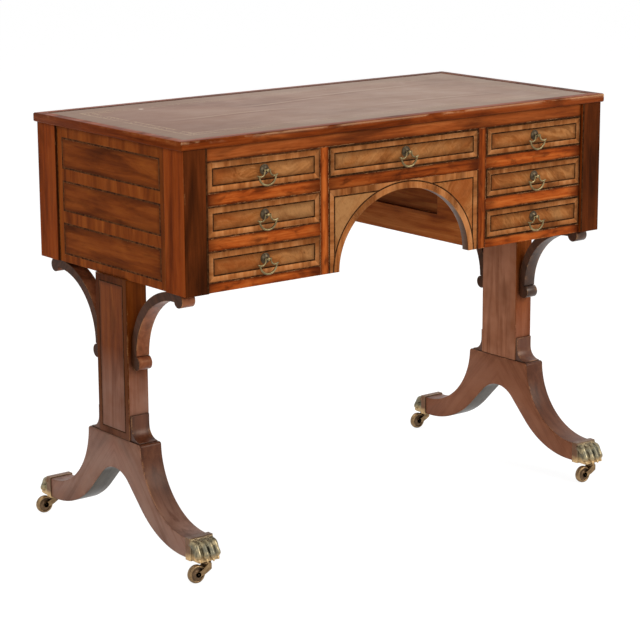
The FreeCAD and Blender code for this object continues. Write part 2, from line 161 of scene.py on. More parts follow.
# Paw caps
TOE_RADIUS = 6.3 * MM
TOE_PITCH = 12.3 * MM
TOE_COUNT = 4
TOE_SPLAY = 0.7 * MM
TOE_STEPS = 20
TOE_SIDES = 18
TOE_ROUNDING = 0.86
OUTER_TOE_SHORTENING = 4 * MM
TENDON_OFFSET = 2.6 * MM
TENDON_STEPS = (0.05, 0.3, 0.55, 0.8)
CLAW_TOP = 9 * MM
CLAW_DROP = 8 * MM
CLAW_INSET = 1.6 * MM
CLAW_RADII = [radius * MM for radius in (2.6, 2.7, 2.4, 1.8, 0.9)]
PAW_VOXEL = 0.7 * MM
PAW_CLEARANCE = 0.6 * MM
PAW_SOFTENING = 2
SOCKET_LENGTH = 15 * MM
SOCKET_WALL = 2 * MM
SOCKET_STEP = 2 * MM
SOCKET_LIP = 1 * MM
SOCKET_LIP_DROP = 1.2 * MM
SOCKET_OVERLAP = 1 * MM
SOLE_INSET = 4 * MM
SOLE_LIFT = 0.4 * MM
SOLE_TOE_GAP = 8 * MM
COLLAR = (239 * MM, 234 * MM)
CLAW_HEIGHT = (50 * MM, 41 * MM)

# Casters: profiles are (place on the axis, radius) in mm, plate and head lie below the paws' soles
WHEEL_FACE = ((5.2, 0.1), (5.2, 4.4), (4.4, 5.0), (3.5, 6.0), (3.1, 9.0), (3.5, 11.6), (5.2, 12.6),
              (5.5, 13.4), (5.3, 14.6), (4.4, 15.6), (2.4, 16.3))
WHEEL_RADIUS = 16.5
WHEEL_DISH = 12.4 * MM
PLATE_PROFILE = ((0, 6.4), (0.6, 7.6), (1.6, 8.0), (3.4, 8.0), (4.5, 7.0))
PLATE_DEPTH = 4.9 * MM
RIVET_PROFILE = ((0, 2.2), (0.2, 2.1), (0.3, 1.2))
RIVET_OUT = 8.3 * MM
HEAD_TOP = 2.6 * MM
HEAD_LOW = 12.9 * MM
HEAD_FRONT = 5 * MM
HEAD_BACK = 2 * MM
HEAD_HALF = 7 * MM
CHEEK_INNER = 6.1 * MM
CHEEK_OUTER = 8.5 * MM
HORN_END = 4.8 * MM
HORN_LOW_BEND = -2.2 * MM
HORN_HIGH_BEND = -2.4 * MM
HORN_STEPS = 8
HORN_END_STEPS = 12
FORK_EASE = 0.6 * MM
FORK_SHARP = radians(45)

# Reflections are amber from wood and pale from dark polish; veneers carry painted shade along their borders
# as a point attribute
AMBER = (1.0, 0.62, 0.34)
PALE = (1.0, 0.9, 0.8)
# Name of the point attribute that carries painted shade along veneer borders
SHADE_ATTRIBUTE = "edge_dirt"
GRAIN = {"x": (0, 1, 1), "y": (1, 0, 1), "z": (1, 1, 0)}
LEVEL_REACH = 4.5
WEAR_LINE = 755 * MM


# Materials
def shade(colour, share):
    return tuple(c * share for c in colour)


def dimmed(tones, share):
    """The same three tones, darker, or lighter above 1."""
    return tuple(shade(tone, share) for tone in tones)


def feed(tree, socket, value):
    """Gives a socket a constant, or links another socket to it."""
    if isinstance(value, bpy.types.NodeSocket):
        tree.links.new(value, socket)
    elif isinstance(value, tuple) and len(value) == 3 and socket.type == "RGBA":
        socket.default_value = (*value, 1)
    else:
        socket.default_value = value


def add_node(tree, kind, inputs, output=0, **settings):
    """Adds a shader node, feeds its inputs and gives one of its outputs."""
    node = tree.nodes.new("ShaderNode" + kind)
    for key, value in settings.items():
        setattr(node, key, value)
    for key, value in inputs.items():
        feed(tree, node.inputs[key], value)
    return node.outputs[output]


class Finish:
    """One material: short calls for the nodes that the finishes share, and a colour built up in coats."""

    def __init__(self, name, colour, roughness, **constants):
        self.material = bpy.data.materials.new(name)
        self.material.use_nodes = True
        self.material.diffuse_color = (*colour, 1)
        self.tree = self.material.node_tree
        self.shader = self.tree.nodes["Principled BSDF"]
        self.colour = colour
        self.set(base_color=colour, roughness=roughness, **constants)

    def set(self, **inputs):
        for key, value in inputs.items():
            feed(self.tree, self.shader.inputs[key.replace("_", " ").title().replace("Ior", "IOR")], value)

    def done(self, **inputs):
        self.set(base_color=self.colour, **inputs)
        return self.material

    def add(self, kind, inputs, output=0, **settings):
        return add_node(self.tree, kind, inputs, output, **settings)

    def math(self, operation, a, b=0.0):
        return self.add("Math", {0: a, 1: b}, operation=operation)

    def times(self, a, b):
        return self.math("MULTIPLY", a, b)

    def plus(self, a, b):
        return self.math("ADD", a, b)

    def minus(self, a, b):
        return self.math("SUBTRACT", a, b)

    def size(self, a):
        return self.math("ABSOLUTE", a)

    def dot(self, a, b):
        return self.add("VectorMath", {0: a, 1: b}, "Value", operation="DOT_PRODUCT")

    def fit(self, value, low, high, to_low=0.0, to_high=1.0):
        return self.add("MapRange", {"Value": value, "From Min": low, "From Max": high,
                                     "To Min": to_low, "To Max": to_high})

    def axis(self, which):
        """One of the object coordinates."""
        return self.add("SeparateXYZ", {0: self.add("TexCoord", {}, "Object")}, which)

    def place(self, scale, turn=(0, 0, 0), shift=(0, 0, 0), mirror=False):
        """Object coordinates, with Y folded over for pieces that mirror each other front to back."""
        spot = self.add("TexCoord", {}, "Object")
        if mirror:
            spot = self.add("CombineXYZ", {0: self.axis(0), 1: self.size(self.axis(1)), 2: self.axis(2)})
        scales = scale if isinstance(scale, tuple) else (scale,) * 3
        moved = self.add("Mapping", {"Vector": spot, "Location": shift, "Rotation": turn})
        return self.add("Mapping", {"Vector": moved, "Scale": scales})

    def noise(self, spot, detail, roughness, distortion=0.0):
        return self.add("TexNoise", {"Vector": spot, "Scale": 1.0, "Detail": detail,
                                     "Roughness": roughness, "Distortion": distortion}, "Fac")

    def cells(self, scale):
        return self.add("TexVoronoi", {"Vector": self.place(scale), "Scale": 1.0}, "Distance")

    def ramp(self, value, *stops):
        node = self.tree.nodes.new("ShaderNodeValToRGB")
        feed(self.tree, node.inputs[0], value)
        band = node.color_ramp.elements
        while len(band) < len(stops):
            band.new(0.5)
        for element, (at, colour) in zip(band, stops):
            element.position = at
            element.color = (*colour, 1)
        return node.outputs[0]

    def mix(self, share, a, b):
        return self.add("Mix", {"Factor": share, 6: a, 7: b}, 2, data_type="RGBA")

    def coat(self, share, colour):
        """Lays a colour over the coats so far, as thick as share says."""
        self.colour = self.mix(share, self.colour, colour)

    def bump(self, height, strength, distance, normal=None):
        inputs = {"Height": height, "Strength": strength, "Distance": distance}
        if normal:
            inputs["Normal"] = normal
        return self.add("Bump", inputs, "Normal")

    def rounded(self, radius):
        """Normals of edges as if they were rounded."""
        return self.add("Bevel", {"Radius": radius}, samples=4)

    def rim(self, radius):
        """High close to a sharp edge."""
        flat = self.add("NewGeometry", {}, "True Normal")
        return self.fit(self.dot(self.rounded(radius), flat), 0.999, 0.9)

    def edge_dirt(self):
        """The painted shade that a veneer field's points carry: 1 along its border, 0 inside."""
        return self.add("Attribute", {}, "Fac", attribute_name=SHADE_ATTRIBUTE)

    def crevice(self, distance):
        """High where other surfaces are close, as in a joint."""
        return self.fit(self.add("AmbientOcclusion", {"Distance": distance}, "AO", samples=6), 0.95, 0.3)


def wood(name, tones, grain, seed, rake=0, figure=0.5, polish=0.36, gloss=0.05, wear=(0.52, 0.25, 0.1),
         wear_reach=2.0, wear_share=0.42, wear_length=75, wear_above=None, patch_size=(17, 3.5),
         patch_depth=0.7, arris=0.55, crevice_shade=0.8, dull_ends=(), dull_reach=34.0, dull_levels=(), haze_and_sheen=None,
         tint=AMBER):
    """Polished wood: streaks and pores along the grain, figure, worn edges, and painted shade in the joints
    and along veneer borders.

    rake tilts the grain by degrees, mirrored front to back. dull_ends and dull_levels are the places across
    and up the front that a rail darkens towards. The haze is (height where it starts, height where it is
    full, colour, share): polish gone dull and dusty, with painted sheen of reflected light.
    """
    dark, middle, light = tones
    deep = shade(dark, 0.45)
    f = Finish(name, middle, polish, specular_ior_level=gloss, specular_tint=tint)
    across = Vector(GRAIN[grain])
    along = Vector((1, 1, 1)) - across
    shift = (seed, seed * 0.7, seed * 1.3)

    def stretched(wide, long):
        return f.place(tuple(across * wide + along * long), (radians(-rake), 0, 0), shift, bool(rake))

    streaks = f.noise(stretched(110, 4), 8, 0.66, 0.5)
    ribbons = f.noise(stretched(30, 4), 5, 0.55, 1.4)
    cloud = f.noise(stretched(*patch_size), 4, 0.58, 0.6)
    pores = f.fit(f.noise(stretched(1500, 55), 2, 0.6), 0.58, 0.72)
    patches = f.noise(f.place(10, shift=shift), 3, 0.6)
    scuff = f.noise(stretched(75, wear_length), 5, 0.7)
    tone = f.plus(f.times(streaks, 1 - figure), f.times(ribbons, figure))
    f.colour = f.ramp(tone, (0.34, dark), (0.49, middle), (0.64, light))
    f.coat(f.fit(cloud, 0.5, 0.68, 0.0, patch_depth), deep)
    f.coat(f.fit(cloud, 0.44, 0.3, 0.0, 0.4), light)
    f.coat(f.times(pores, 0.4), deep)
    # Painted shade: darker along the outer borders of veneer fields and bands
    f.coat(f.times(f.edge_dirt(), 0.5), deep)
    dulled = ((dull_ends, f.size(f.axis(0)), dull_reach), (dull_levels, f.axis(2), LEVEL_REACH))
    for places, spot, reach in dulled:
        near = 1.0
        for end in places:
            near = f.math("MINIMUM", near, f.size(f.minus(spot, end)))
        if places:
            closeness = f.fit(near, reach * MM, 0.12 * reach * MM)
            f.coat(f.times(closeness, f.fit(patches, 0.32, 0.55, 0.3, 0.9)), deep)
    worn = f.fit(f.plus(scuff, patches), 1.22 - 0.5 * wear_share, 1.32 - 0.5 * wear_share)
    if wear_above:
        level = f.size(f.dot(f.add("NewGeometry", {}, "Normal"), (0.0, 0.0, 1.0)))
        worn = f.times(worn, f.fit(f.axis(2), wear_above - 2 * MM, wear_above + 1 * MM))
        worn = f.times(worn, f.fit(level, 0.9, 0.6))
    edge = f.rim(wear_reach * MM)
    f.coat(f.times(edge, f.times(worn, 0.9)), wear)
    rough = f.fit(cloud, 0.25, 0.75, polish - 0.07, polish + 0.1)
    # Lower down the polish is dull, dusty and greyer, with painted sheen of reflected light mixed into the
    # colour
    if haze_and_sheen:
        start, full, bloom_and_sheen, share = haze_and_sheen
        dull = f.times(f.fit(f.axis(2), start, full), f.fit(patches, 0.34, 0.6, 0.4, 1.0))
        f.coat(f.times(dull, share), f.mix(f.fit(tone, 0.52, 0.38, 0.0, 0.5), bloom_and_sheen, middle))
        rough = f.plus(rough, f.times(dull, 0.08))
    f.coat(f.times(edge, f.times(f.minus(1.0, worn), arris)), deep)
    # Painted shade in the joints, where other surfaces are close
    f.coat(f.times(f.crevice(9 * MM), crevice_shade), shade(deep, 0.3))
    rough = f.plus(rough, f.times(pores, 0.12))
    height = f.minus(f.times(streaks, 0.25), pores)
    return f.done(roughness=rough, normal=f.bump(height, 0.22, 0.12 * MM, f.rounded(1.0 * MM)))


def flame_veneer(name, tones, middle_x, slope, fading, seed, tilt):
    """Figured veneer: feathered flames that sweep across a field, redder to the left, faded to the right."""
    dark, middle, light = tones
    f = Finish(name, middle, 0.36, specular_ior_level=0.05, specular_tint=AMBER)
    turn = (0, radians(tilt), 0)
    shift = (seed, seed * 0.4, seed * 0.9)
    sway = f.noise(f.place((7, 7, 11), turn, shift), 3, 0.5)
    swing = f.add("CombineXYZ", {0: f.times(sway, 7.0), 2: f.times(sway, 5.0)})
    bent = f.add("VectorMath", {0: f.place((17, 17, 48), turn, shift), 1: swing}, operation="ADD")
    flames = f.noise(bent, 8, 0.7, 1.0)
    fibre = f.noise(f.place((900, 900, 120), (0, 0.6, 0), shift), 3, 0.6)
    fade = f.noise(f.place((9, 9, 15), turn, (seed * 2, 0, seed)), 4, 0.6, 0.8)
    lean = f.plus(f.plus(fade, f.times(f.minus(f.axis(0), middle_x), slope)), fading)
    f.colour = f.ramp(flames, (0.32, dark), (0.48, middle), (0.66, light))
    f.coat(f.fit(lean, 0.5, 0.72, 0.0, 0.75), (0.33, 0.165, 0.062))
    f.coat(f.fit(lean, 0.5, 0.28, 0.0, 0.75), (0.25, 0.06, 0.011))
    shadow = f.noise(f.place((30, 30, 40), turn, (seed, seed, 0)), 4, 0.6)
    f.coat(f.fit(shadow, 0.52, 0.7, 0.0, 0.5), dark)
    f.coat(f.fit(fibre, 0.52, 0.75, 0.0, 0.4), shade(dark, 0.5))
    knots = f.fit(f.noise(f.place(60, shift=shift), 2, 0.5), 0.71, 0.78)
    f.coat(f.times(knots, 0.75), (0.045, 0.016, 0.006))
    # Painted shade: darker along the field's border and in its joints
    f.coat(f.times(f.edge_dirt(), 0.6), shade(dark, 0.4))
    f.coat(f.times(f.crevice(10 * MM), 0.75), (0.03, 0.012, 0.005))
    return f.done(roughness=f.fit(fade, 0.25, 0.75, 0.3, 0.46), normal=f.bump(fibre, 0.16, 0.08 * MM))


def ebony(name, dark, rubbed):
    """Thin dark string, a little worn."""
    f = Finish(name, (0.02, 0.009, 0.005), 0.5, specular_ior_level=0.01)
    worn = f.noise(f.place(140), 4, 0.6)
    f.colour = f.ramp(worn, (0.36, dark), (0.72, rubbed))
    return f.done(roughness=f.fit(worn, 0.3, 0.7, 0.4, 0.6), normal=f.bump(worn, 0.2, 0.1 * MM))


def aged_leather(name, tones, half_size, crest):
    """Writing leather: pebble grain, rubbed patches, a stippled border of worn tooling, one pale scuff."""
    red, grey = tones
    f = Finish(name, red[1], 0.5, specular_ior_level=0.14, sheen_weight=0.26, sheen_roughness=0.45,
               sheen_tint=(1.0, 0.83, 0.7))
    x, y, z = (f.axis(i) for i in range(3))
    cloud = f.noise(f.place((3.5, 5, 4), (0, 0, 0.5)), 4, 0.55, 0.5)
    rubbed = f.noise(f.place((11, 17, 8), (0, 0, 0.4)), 6, 0.66, 0.3)
    # Towards the right and the front the hide turns greyer: fading, with painted sheen of reflected light
    fade_and_sheen = f.fit(f.plus(f.minus(x, f.times(y, 1.3)), f.times(cloud, 0.5)), -0.12, 0.36)
    dark, middle, light = (f.mix(fade_and_sheen, a, b) for a, b in zip(red, grey))
    f.colour = f.mix(f.fit(cloud, 0.36, 0.52), dark, middle)
    f.coat(f.fit(cloud, 0.5, 0.68), light)
    f.coat(f.fit(rubbed, 0.46, 0.72, 0.0, 0.45), light)
    # Painted shade: the hide is darker towards the left end
    f.coat(f.fit(x, -0.24, -0.42, 0.0, 0.5), dark)
    inward = f.math("MINIMUM", f.minus(half_size[0], f.size(x)), f.minus(half_size[1], f.size(y)))

    def close_to(inset, reach):
        return f.math("LESS_THAN", f.size(f.minus(inward, inset)), reach)

    lines = f.plus(close_to(TOOLED_INSET - TOOLED_WIDTH / 2, TOOLED_LINE),
                   close_to(TOOLED_INSET + TOOLED_WIDTH / 2, TOOLED_LINE))
    stipple = f.times(close_to(TOOLED_INSET, TOOLED_WIDTH / 2), f.fit(f.cells(230), 0.34, 0.24))
    kept = f.fit(f.noise(f.place(22), 4, 0.65), 0.36, 0.5)
    tooling = f.times(f.times(f.plus(stipple, lines), kept), f.fit(x, -0.25, -0.41, 0.45, 1.0))
    f.coat(f.fit(inward, 60 * MM, 25 * MM, 0.0, 0.4), (0.15, 0.1, 0.063))
    f.coat(f.times(f.math("MINIMUM", tooling, 1.0), 0.7), (0.46, 0.36, 0.22))
    f.coat(f.fit(inward, 16 * MM, 0.0, 0.0, 0.4), (0.09, 0.058, 0.038))
    level = f.add("CombineXYZ", {0: x, 1: y})
    scuff = f.add("VectorMath", {0: level, 1: (*SCUFF_PLACE, 0)}, "Value", operation="DISTANCE")
    f.coat(f.fit(scuff, 6 * MM, 3 * MM, 0.0, 0.8), (0.7, 0.6, 0.5))
    f.coat(f.times(f.fit(f.noise(f.place(260), 3, 0.6), 0.62, 0.75), 0.3), light)
    # Painted highlight: the crests of the creases are lighter
    f.coat(f.fit(z, crest - 0.6 * CREASE_HEIGHT, crest, 0.0, 0.55), (0.32, 0.24, 0.18))
    height = f.minus(f.times(f.cells(900), 0.5), f.times(tooling, 0.8))
    ripple = f.bump(f.noise(f.place((9, 22, 9)), 3, 0.5), 0.3, 1.0 * MM)
    dull = f.plus(f.fit(rubbed, 0.3, 0.7, 0.64, 0.48), f.fit(x, -0.05, -0.4, 0.0, 0.16))
    return f.done(roughness=dull, normal=f.bump(height, 0.3, 0.2 * MM, ripple))


def antique_brass(name, bright, brown, patina, patina_share=0.4, roughness=0.3, is_paw=False):
    """Cast brass: rubbed highlights, brown tarnish, and patina in the hollows; paws have rubbed claws."""
    f = Finish(name, bright, roughness, metallic=1.0)
    cloud = f.noise(f.place(110), 5, 0.65, 0.6)
    pits = f.noise(f.place(900), 3, 0.6)
    hollow = f.crevice(5 * MM)
    stain = f.fit(f.noise(f.place(60, shift=(2, 5, 1)), 4, 0.6), 0.42, 0.62)
    f.coat(f.fit(cloud, 0.4, 0.68), brown)
    f.coat(f.times(stain, patina_share), patina)
    if is_paw:
        f.coat(f.fit(f.size(f.axis(1)), *COLLAR, 0.0, 0.85), (0.15, 0.066, 0.036))
        claw = f.times(f.fit(f.axis(2), *CLAW_HEIGHT), f.fit(cloud, 0.4, 0.55, 0.4, 1.0))
        f.coat(claw, (0.6, 0.4, 0.19))
    f.coat(f.times(hollow, 0.8), shade(patina, 0.3))
    f.coat(f.times(f.rim(0.8 * MM), 0.5), bright)
    rough = f.plus(f.fit(cloud, 0.3, 0.75, roughness - 0.06, roughness + 0.2), f.times(hollow, 0.2))
    return f.done(roughness=rough, normal=f.bump(pits, 0.25, 0.15 * MM, f.rounded(0.6 * MM)))


# Tones: dark, middle and light
RED = ((0.12, 0.018, 0.003), (0.33, 0.062, 0.008), (0.5, 0.135, 0.026))
WALL = ((0.12, 0.023, 0.005), (0.33, 0.08, 0.014), (0.5, 0.165, 0.04))
FRIEZE = ((0.11, 0.02, 0.004), (0.25, 0.055, 0.01), (0.38, 0.105, 0.025))
WARM = ((0.13, 0.022, 0.003), (0.26, 0.046, 0.005), (0.36, 0.08, 0.012))
EDGE = ((0.08, 0.013, 0.002), (0.19, 0.034, 0.005), (0.3, 0.07, 0.014))
BROWN = ((0.1, 0.019, 0.002), (0.2, 0.042, 0.005), (0.29, 0.072, 0.01))
DEEP = ((0.035, 0.008, 0.002), (0.075, 0.016, 0.003), (0.13, 0.028, 0.006))
SHADE = ((0.03, 0.01, 0.004), (0.065, 0.022, 0.01), (0.11, 0.038, 0.017))
BASE = ((0.11, 0.03, 0.012), (0.2, 0.058, 0.024), (0.28, 0.095, 0.042))
CHAR = ((0.045, 0.013, 0.005), (0.1, 0.03, 0.011), (0.17, 0.06, 0.024))
# Undersides of the legs: painted shade
UNDER_SHADE = ((0.024, 0.022, 0.018), (0.048, 0.044, 0.036), (0.075, 0.068, 0.054))
GOLD = ((0.15, 0.043, 0.01), (0.32, 0.115, 0.03), (0.47, 0.2, 0.066))
DIM_GOLD = dimmed(GOLD, 0.9)
BAND = ((0.17, 0.046, 0.01), (0.33, 0.117, 0.033), (0.46, 0.195, 0.07))
OAK = ((0.16, 0.085, 0.036), (0.28, 0.162, 0.072), (0.37, 0.235, 0.118))
CORE = ((0.05, 0.022, 0.01), (0.1, 0.042, 0.019), (0.15, 0.066, 0.03))
HIDE = (((0.105, 0.035, 0.021), (0.155, 0.066, 0.043), (0.195, 0.104, 0.073)),
        ((0.125, 0.06, 0.038), (0.175, 0.092, 0.062), (0.215, 0.13, 0.093)))
# Colours that the supports turn towards lower down: dull, dusty polish and painted sheen
BLOOM_AND_SHEEN = (0.3, 0.168, 0.124)
RUST_SHEEN = (0.33, 0.13, 0.07)
DUST_AND_SHEEN = (0.2, 0.085, 0.05)
PINK_SHEEN = (0.5, 0.22, 0.125)

# Woods of the top, carcass and drawers
RAIL = {"figure": 0.45, "patch_size": (70, 26)}
RAIL_ENDS = {"dull_ends": OPENINGS, "dull_levels": LEVELS}
MULLION_ENDS = {"dull_ends": OPENINGS[:2], "dull_reach": 6.0}
TOP = {"figure": 0.4, "wear_above": WEAR_LINE}
POST = {"wear_reach": 1.2, "wear_share": 0.2}
INNER = {"polish": 0.46, "crevice_shade": 0.45, "patch_depth": 0.4}
LINING = {"polish": 0.55, "figure": 0.3, "wear": OAK[2], "patch_depth": 0.4}
rail_wood = wood("rail_mahogany", RED, "x", 1.0, **RAIL, **RAIL_ENDS)
rail_dark_wood = wood("rail_dark_mahogany", dimmed(RED, 0.7), "x", 1.2, **RAIL, **RAIL_ENDS)
frieze_wood = wood("frieze_mahogany", FRIEZE, "x", 1.5, figure=0.45, patch_size=(34, 7),
                   dull_levels=LEVELS[-1:])
mullion_wood = wood("mullion_mahogany", RED, "z", 2.0, **RAIL, **MULLION_ENDS)
mullion_dark_wood = wood("mullion_dark_mahogany", dimmed(RED, 0.74), "z", 2.4, **RAIL, **MULLION_ENDS)
edge_wood_x = wood("top_edge_mahogany_x", EDGE, "x", 3.0, gloss=0.03, wear=(0.62, 0.37, 0.2), wear_reach=6.0,
                   wear_share=0.6, wear_length=13, patch_size=(40, 10), **TOP)
edge_wood_back = wood("top_edge_mahogany_back", dimmed(EDGE, 0.5), "x", 3.5, gloss=0.03, wear_share=0.2,
                      **TOP)
edge_wood_y = wood("top_edge_mahogany_y", EDGE, "y", 4.0, gloss=0.02, **TOP)
post_side_wood = wood("post_side_mahogany", WARM, "z", 5.0, figure=0.55, gloss=0.02, **POST)
post_front_wood = wood("post_front_mahogany", DEEP, "z", 6.0, gloss=0.03, **POST)
end_wood = wood("end_field_mahogany", dimmed(BROWN, 1.06), "y", 7.0, figure=0.6, gloss=0.02,
                patch_size=(40, 6))
end_stile_wood = wood("end_stile_mahogany", dimmed(BROWN, 1.1), "z", 8.0, figure=0.4, gloss=0.02)
end_band_wood = wood("end_band_mahogany", dimmed(BROWN, 1.12), "z", 9.0, figure=0.8, gloss=0.02,
                     patch_depth=0.3)
wall_wood = wood("kneehole_mahogany", WALL, "y", 10.0, **INNER)
wall_panel_wood = wood("kneehole_panel_mahogany", dimmed(WALL, 0.78), "y", 10.5, **INNER)
back_wood = wood("back_mahogany", BROWN, "x", 11.0, figure=0.4, polish=0.46, patch_size=(9, 2),
                 patch_depth=0.35)
reveal_wood = wood("arch_reveal_mahogany", SHADE, "y", 15.5, figure=0.4, gloss=0.5)
core_wood = wood("core_wood", CORE, "x", 16.0, polish=0.6, figure=0.3)
board_wood = wood("dust_board_wood", CORE, "y", 17.0, polish=0.62, figure=0.3)
lining_wood = wood("drawer_lining_oak", OAK, "y", 18.0, **LINING)
lining_back_wood = wood("drawer_back_oak", OAK, "x", 19.0, **LINING)
front_wood = wood("drawer_front_mahogany", dimmed(RED, 0.75), "x", 20.0, figure=0.4)


def crossband(name, share, grain, seed):
    return wood("crossband_" + name, dimmed(BAND, share), grain, seed, figure=0.75)


band_upright = crossband("upright", 1.1, "z", 21.0)
band_level = crossband("level", 1.0, "x", 22.0)
# Lowest strips of the drawer bands, here and in the dull set: lighter copies, painted light from below
band_low_lit = crossband("low", 1.4, "z", 21.6)
dull_band_upright = crossband("dull_upright", 0.95, "z", 21.2)
dull_band_level = crossband("dull_level", 0.72, "x", 22.4)
dull_band_low_lit = crossband("dull_low_lit", 1.15, "z", 21.8)
string_wood = ebony("string_ebony", (0.012, 0.005, 0.002), (0.085, 0.034, 0.012))
edge_line_wood = ebony("edge_line_wood", (0.026, 0.009, 0.004), (0.17, 0.062, 0.02))

# Woods of the supports
LEG = {"rake": 42, "figure": 0.4, "gloss": 0.2, "wear_reach": 3.0, "arris": 0.8}
# Heights, colour and share of the dull, dusty polish and painted sheen lower down on the columns and legs
COLUMN_HAZE_AND_SHEEN = {"left": (0.37, 0.27, BLOOM_AND_SHEEN, 0.88), "right": (0.6, 0.4, PINK_SHEEN, 0.88)}
LEG_HAZE_AND_SHEEN = {"left": (0.3, 0.14, BLOOM_AND_SHEEN, 0.85), "right": (0.3, 0.14, RUST_SHEEN, 0.85)}
TOP_HAZE_AND_SHEEN = {"left": (0.13, 0.075, BLOOM_AND_SHEEN, 0.85), "right": (0.12, 0.075, DUST_AND_SHEEN, 0.6)}
column_wood, leg_wood, leg_top_shaded_wood = {}, {}, {}
for side in SIDES:
    column_wood[side] = wood("column_mahogany_" + side, dimmed(BROWN, 0.86), "z", 12.0, gloss=0.06,
                             haze_and_sheen=COLUMN_HAZE_AND_SHEEN[side])
    leg_wood[side] = wood("leg_mahogany_" + side, BASE, "z", 13.0, haze_and_sheen=LEG_HAZE_AND_SHEEN[side], **LEG)
    # Front and top faces of the legs: a darker copy of the leg wood, painted shade
    leg_top_shaded_wood[side] = wood("leg_top_shaded_mahogany_" + side, dimmed(BASE, 0.42), "z", 13.4, haze_and_sheen=TOP_HAZE_AND_SHEEN[side],
                              tint=PALE, **LEG)
column_margin_wood = wood("column_margin_mahogany", dimmed(BROWN, 0.42), "z", 12.2, gloss=0.03,
                          haze_and_sheen=(0.3, 0.2, BLOOM_AND_SHEEN, 0.25))
column_front_wood = wood("column_front_mahogany", BROWN, "z", 12.5, gloss=0.06, haze_and_sheen=(0.42, 0.3, BLOOM_AND_SHEEN, 0.35))
# Undersides of the legs: dark grey-brown, painted shade
underside_shade_wood = wood("leg_underside_shade", UNDER_SHADE, "z", 13.7, rake=42, gloss=0.2)
bracket_wood = wood("bracket_mahogany", BASE, "z", 14.0, rake=40, gloss=0.25)
bracket_dark_wood = wood("bracket_dark_mahogany", dimmed(CHAR, 0.36), "z", 14.2, rake=40, gloss=0.4,
                         tint=PALE)
bracket_side_wood = wood("bracket_side_mahogany", SHADE, "z", 14.5, rake=40, gloss=0.1)
cove_wood = wood("cove_mahogany", dimmed(BASE, 0.5), "z", 15.0, figure=0.4, gloss=0.3, tint=PALE)

# Leather and brass
leather_low, leather_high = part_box("leather_inset")
hide = aged_leather("writing_leather", HIDE, (leather_high.x, leather_high.y), leather_high.z)
pull_brass = antique_brass("pull_brass", (0.29, 0.22, 0.105), (0.09, 0.064, 0.028), (0.032, 0.024, 0.013),
                           0.5, 0.34)
rose_brass = antique_brass("rose_brass", (0.115, 0.085, 0.05), (0.05, 0.037, 0.024), (0.022, 0.018, 0.013))
paw_brass = antique_brass("paw_brass", (0.31, 0.25, 0.145), (0.14, 0.11, 0.066), (0.1, 0.1, 0.076),
                          0.75, 0.38, True)
caster_brass = antique_brass("caster_brass", (0.34, 0.22, 0.108), (0.16, 0.094, 0.045), (0.07, 0.047, 0.03),
                             0.5, 0.4)
wheel_brass = antique_brass("wheel_side_brass", (0.17, 0.105, 0.058), (0.085, 0.053, 0.03),
                            (0.045, 0.03, 0.019), 0.5, 0.42)


# Mesh helpers
def put_in_scene(name, data):
    piece = bpy.data.objects.new(name, data)
    bpy.context.scene.collection.objects.link(piece)
    return piece


def give_materials(mesh, materials, choose=None):
    """Gives a mesh its materials; choose picks one by a face's middle and normal."""
    mesh.materials.clear()
    for material in materials:
        mesh.materials.append(material)
    if choose:
        for face in mesh.polygons:
            face.material_index = int(choose(face.center, face.normal))


def make_piece(name, points, faces, materials, picks=None, smooth=True, dirt=None):
    mesh = bpy.data.meshes.new(name)
    mesh.from_pydata([tuple(p) for p in points], [], faces)
    give_materials(mesh, materials)
    if picks:
        mesh.polygons.foreach_set("material_index", picks)
    mesh.polygons.foreach_set("use_smooth", [smooth] * len(mesh.polygons))
    if dirt:
        mesh.attributes.new(SHADE_ATTRIBUTE, "FLOAT", "POINT").data.foreach_set("value", dirt)
    mesh.validate()
    return put_in_scene(name, mesh)


def dress(piece, body, slot, *replaced):
    """Puts a piece on its body, in place of the nodes that it stands for; slot is not used."""
    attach(piece, body)
    if replaced:
        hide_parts(*replaced)


def circle(centre, u, v, radius, sides):
    angles = [2 * pi * i / sides for i in range(sides)]
    return [centre + (u * cos(a) + v * sin(a)) * radius for a in angles]


def skin_rings(rings):
    """Points and faces of a closed skin over a row of rings."""
    n = len(rings[0])
    faces = []
    for k in range(0, (len(rings) - 1) * n, n):
        faces += [(k + i, k + (i + 1) % n, k + n + (i + 1) % n, k + n + i) for i in range(n)]
    faces.append(tuple(reversed(range(n))))
    faces.append(tuple(range((len(rings) - 1) * n, len(rings) * n)))
    return [p for ring in rings for p in ring], faces


def turned(profile, centre, axis, sides=48):
    """A turned form: (place on the axis, radius) steps about an axis."""
    axis = Vector(axis).normalized()
    u = axis.orthogonal().normalized()
    v = axis.cross(u)
    rings = [circle(Vector(centre) + axis * place, u, v, radius, sides) for place, radius in profile]
    return skin_rings(rings)


def swept(path, radii, flat, sides=14):
    """A round bar along a path that lies square to the direction flat."""
    flat = Vector(flat)
    rings = []
    for k, (spot, radius) in enumerate(zip(path, radii)):
        onward = (path[min(k + 1, len(path) - 1)] - path[max(k - 1, 0)]).normalized()
        rings.append(circle(spot, onward.cross(flat).normalized(), flat, radius, sides))
    return skin_rings(rings)


def block(x0, x1, y0, y1, z0, z1):
    points = [Vector((x, y, z)) for x in (x0, x1) for y in (y0, y1) for z in (z0, z1)]
    return points, [(0, 1, 3, 2), (4, 6, 7, 5), (0, 4, 5, 1), (2, 3, 7, 6), (0, 2, 6, 4), (1, 5, 7, 3)]


def scaled(profile):
    return [(place * MM, radius * MM) for place, radius in profile]


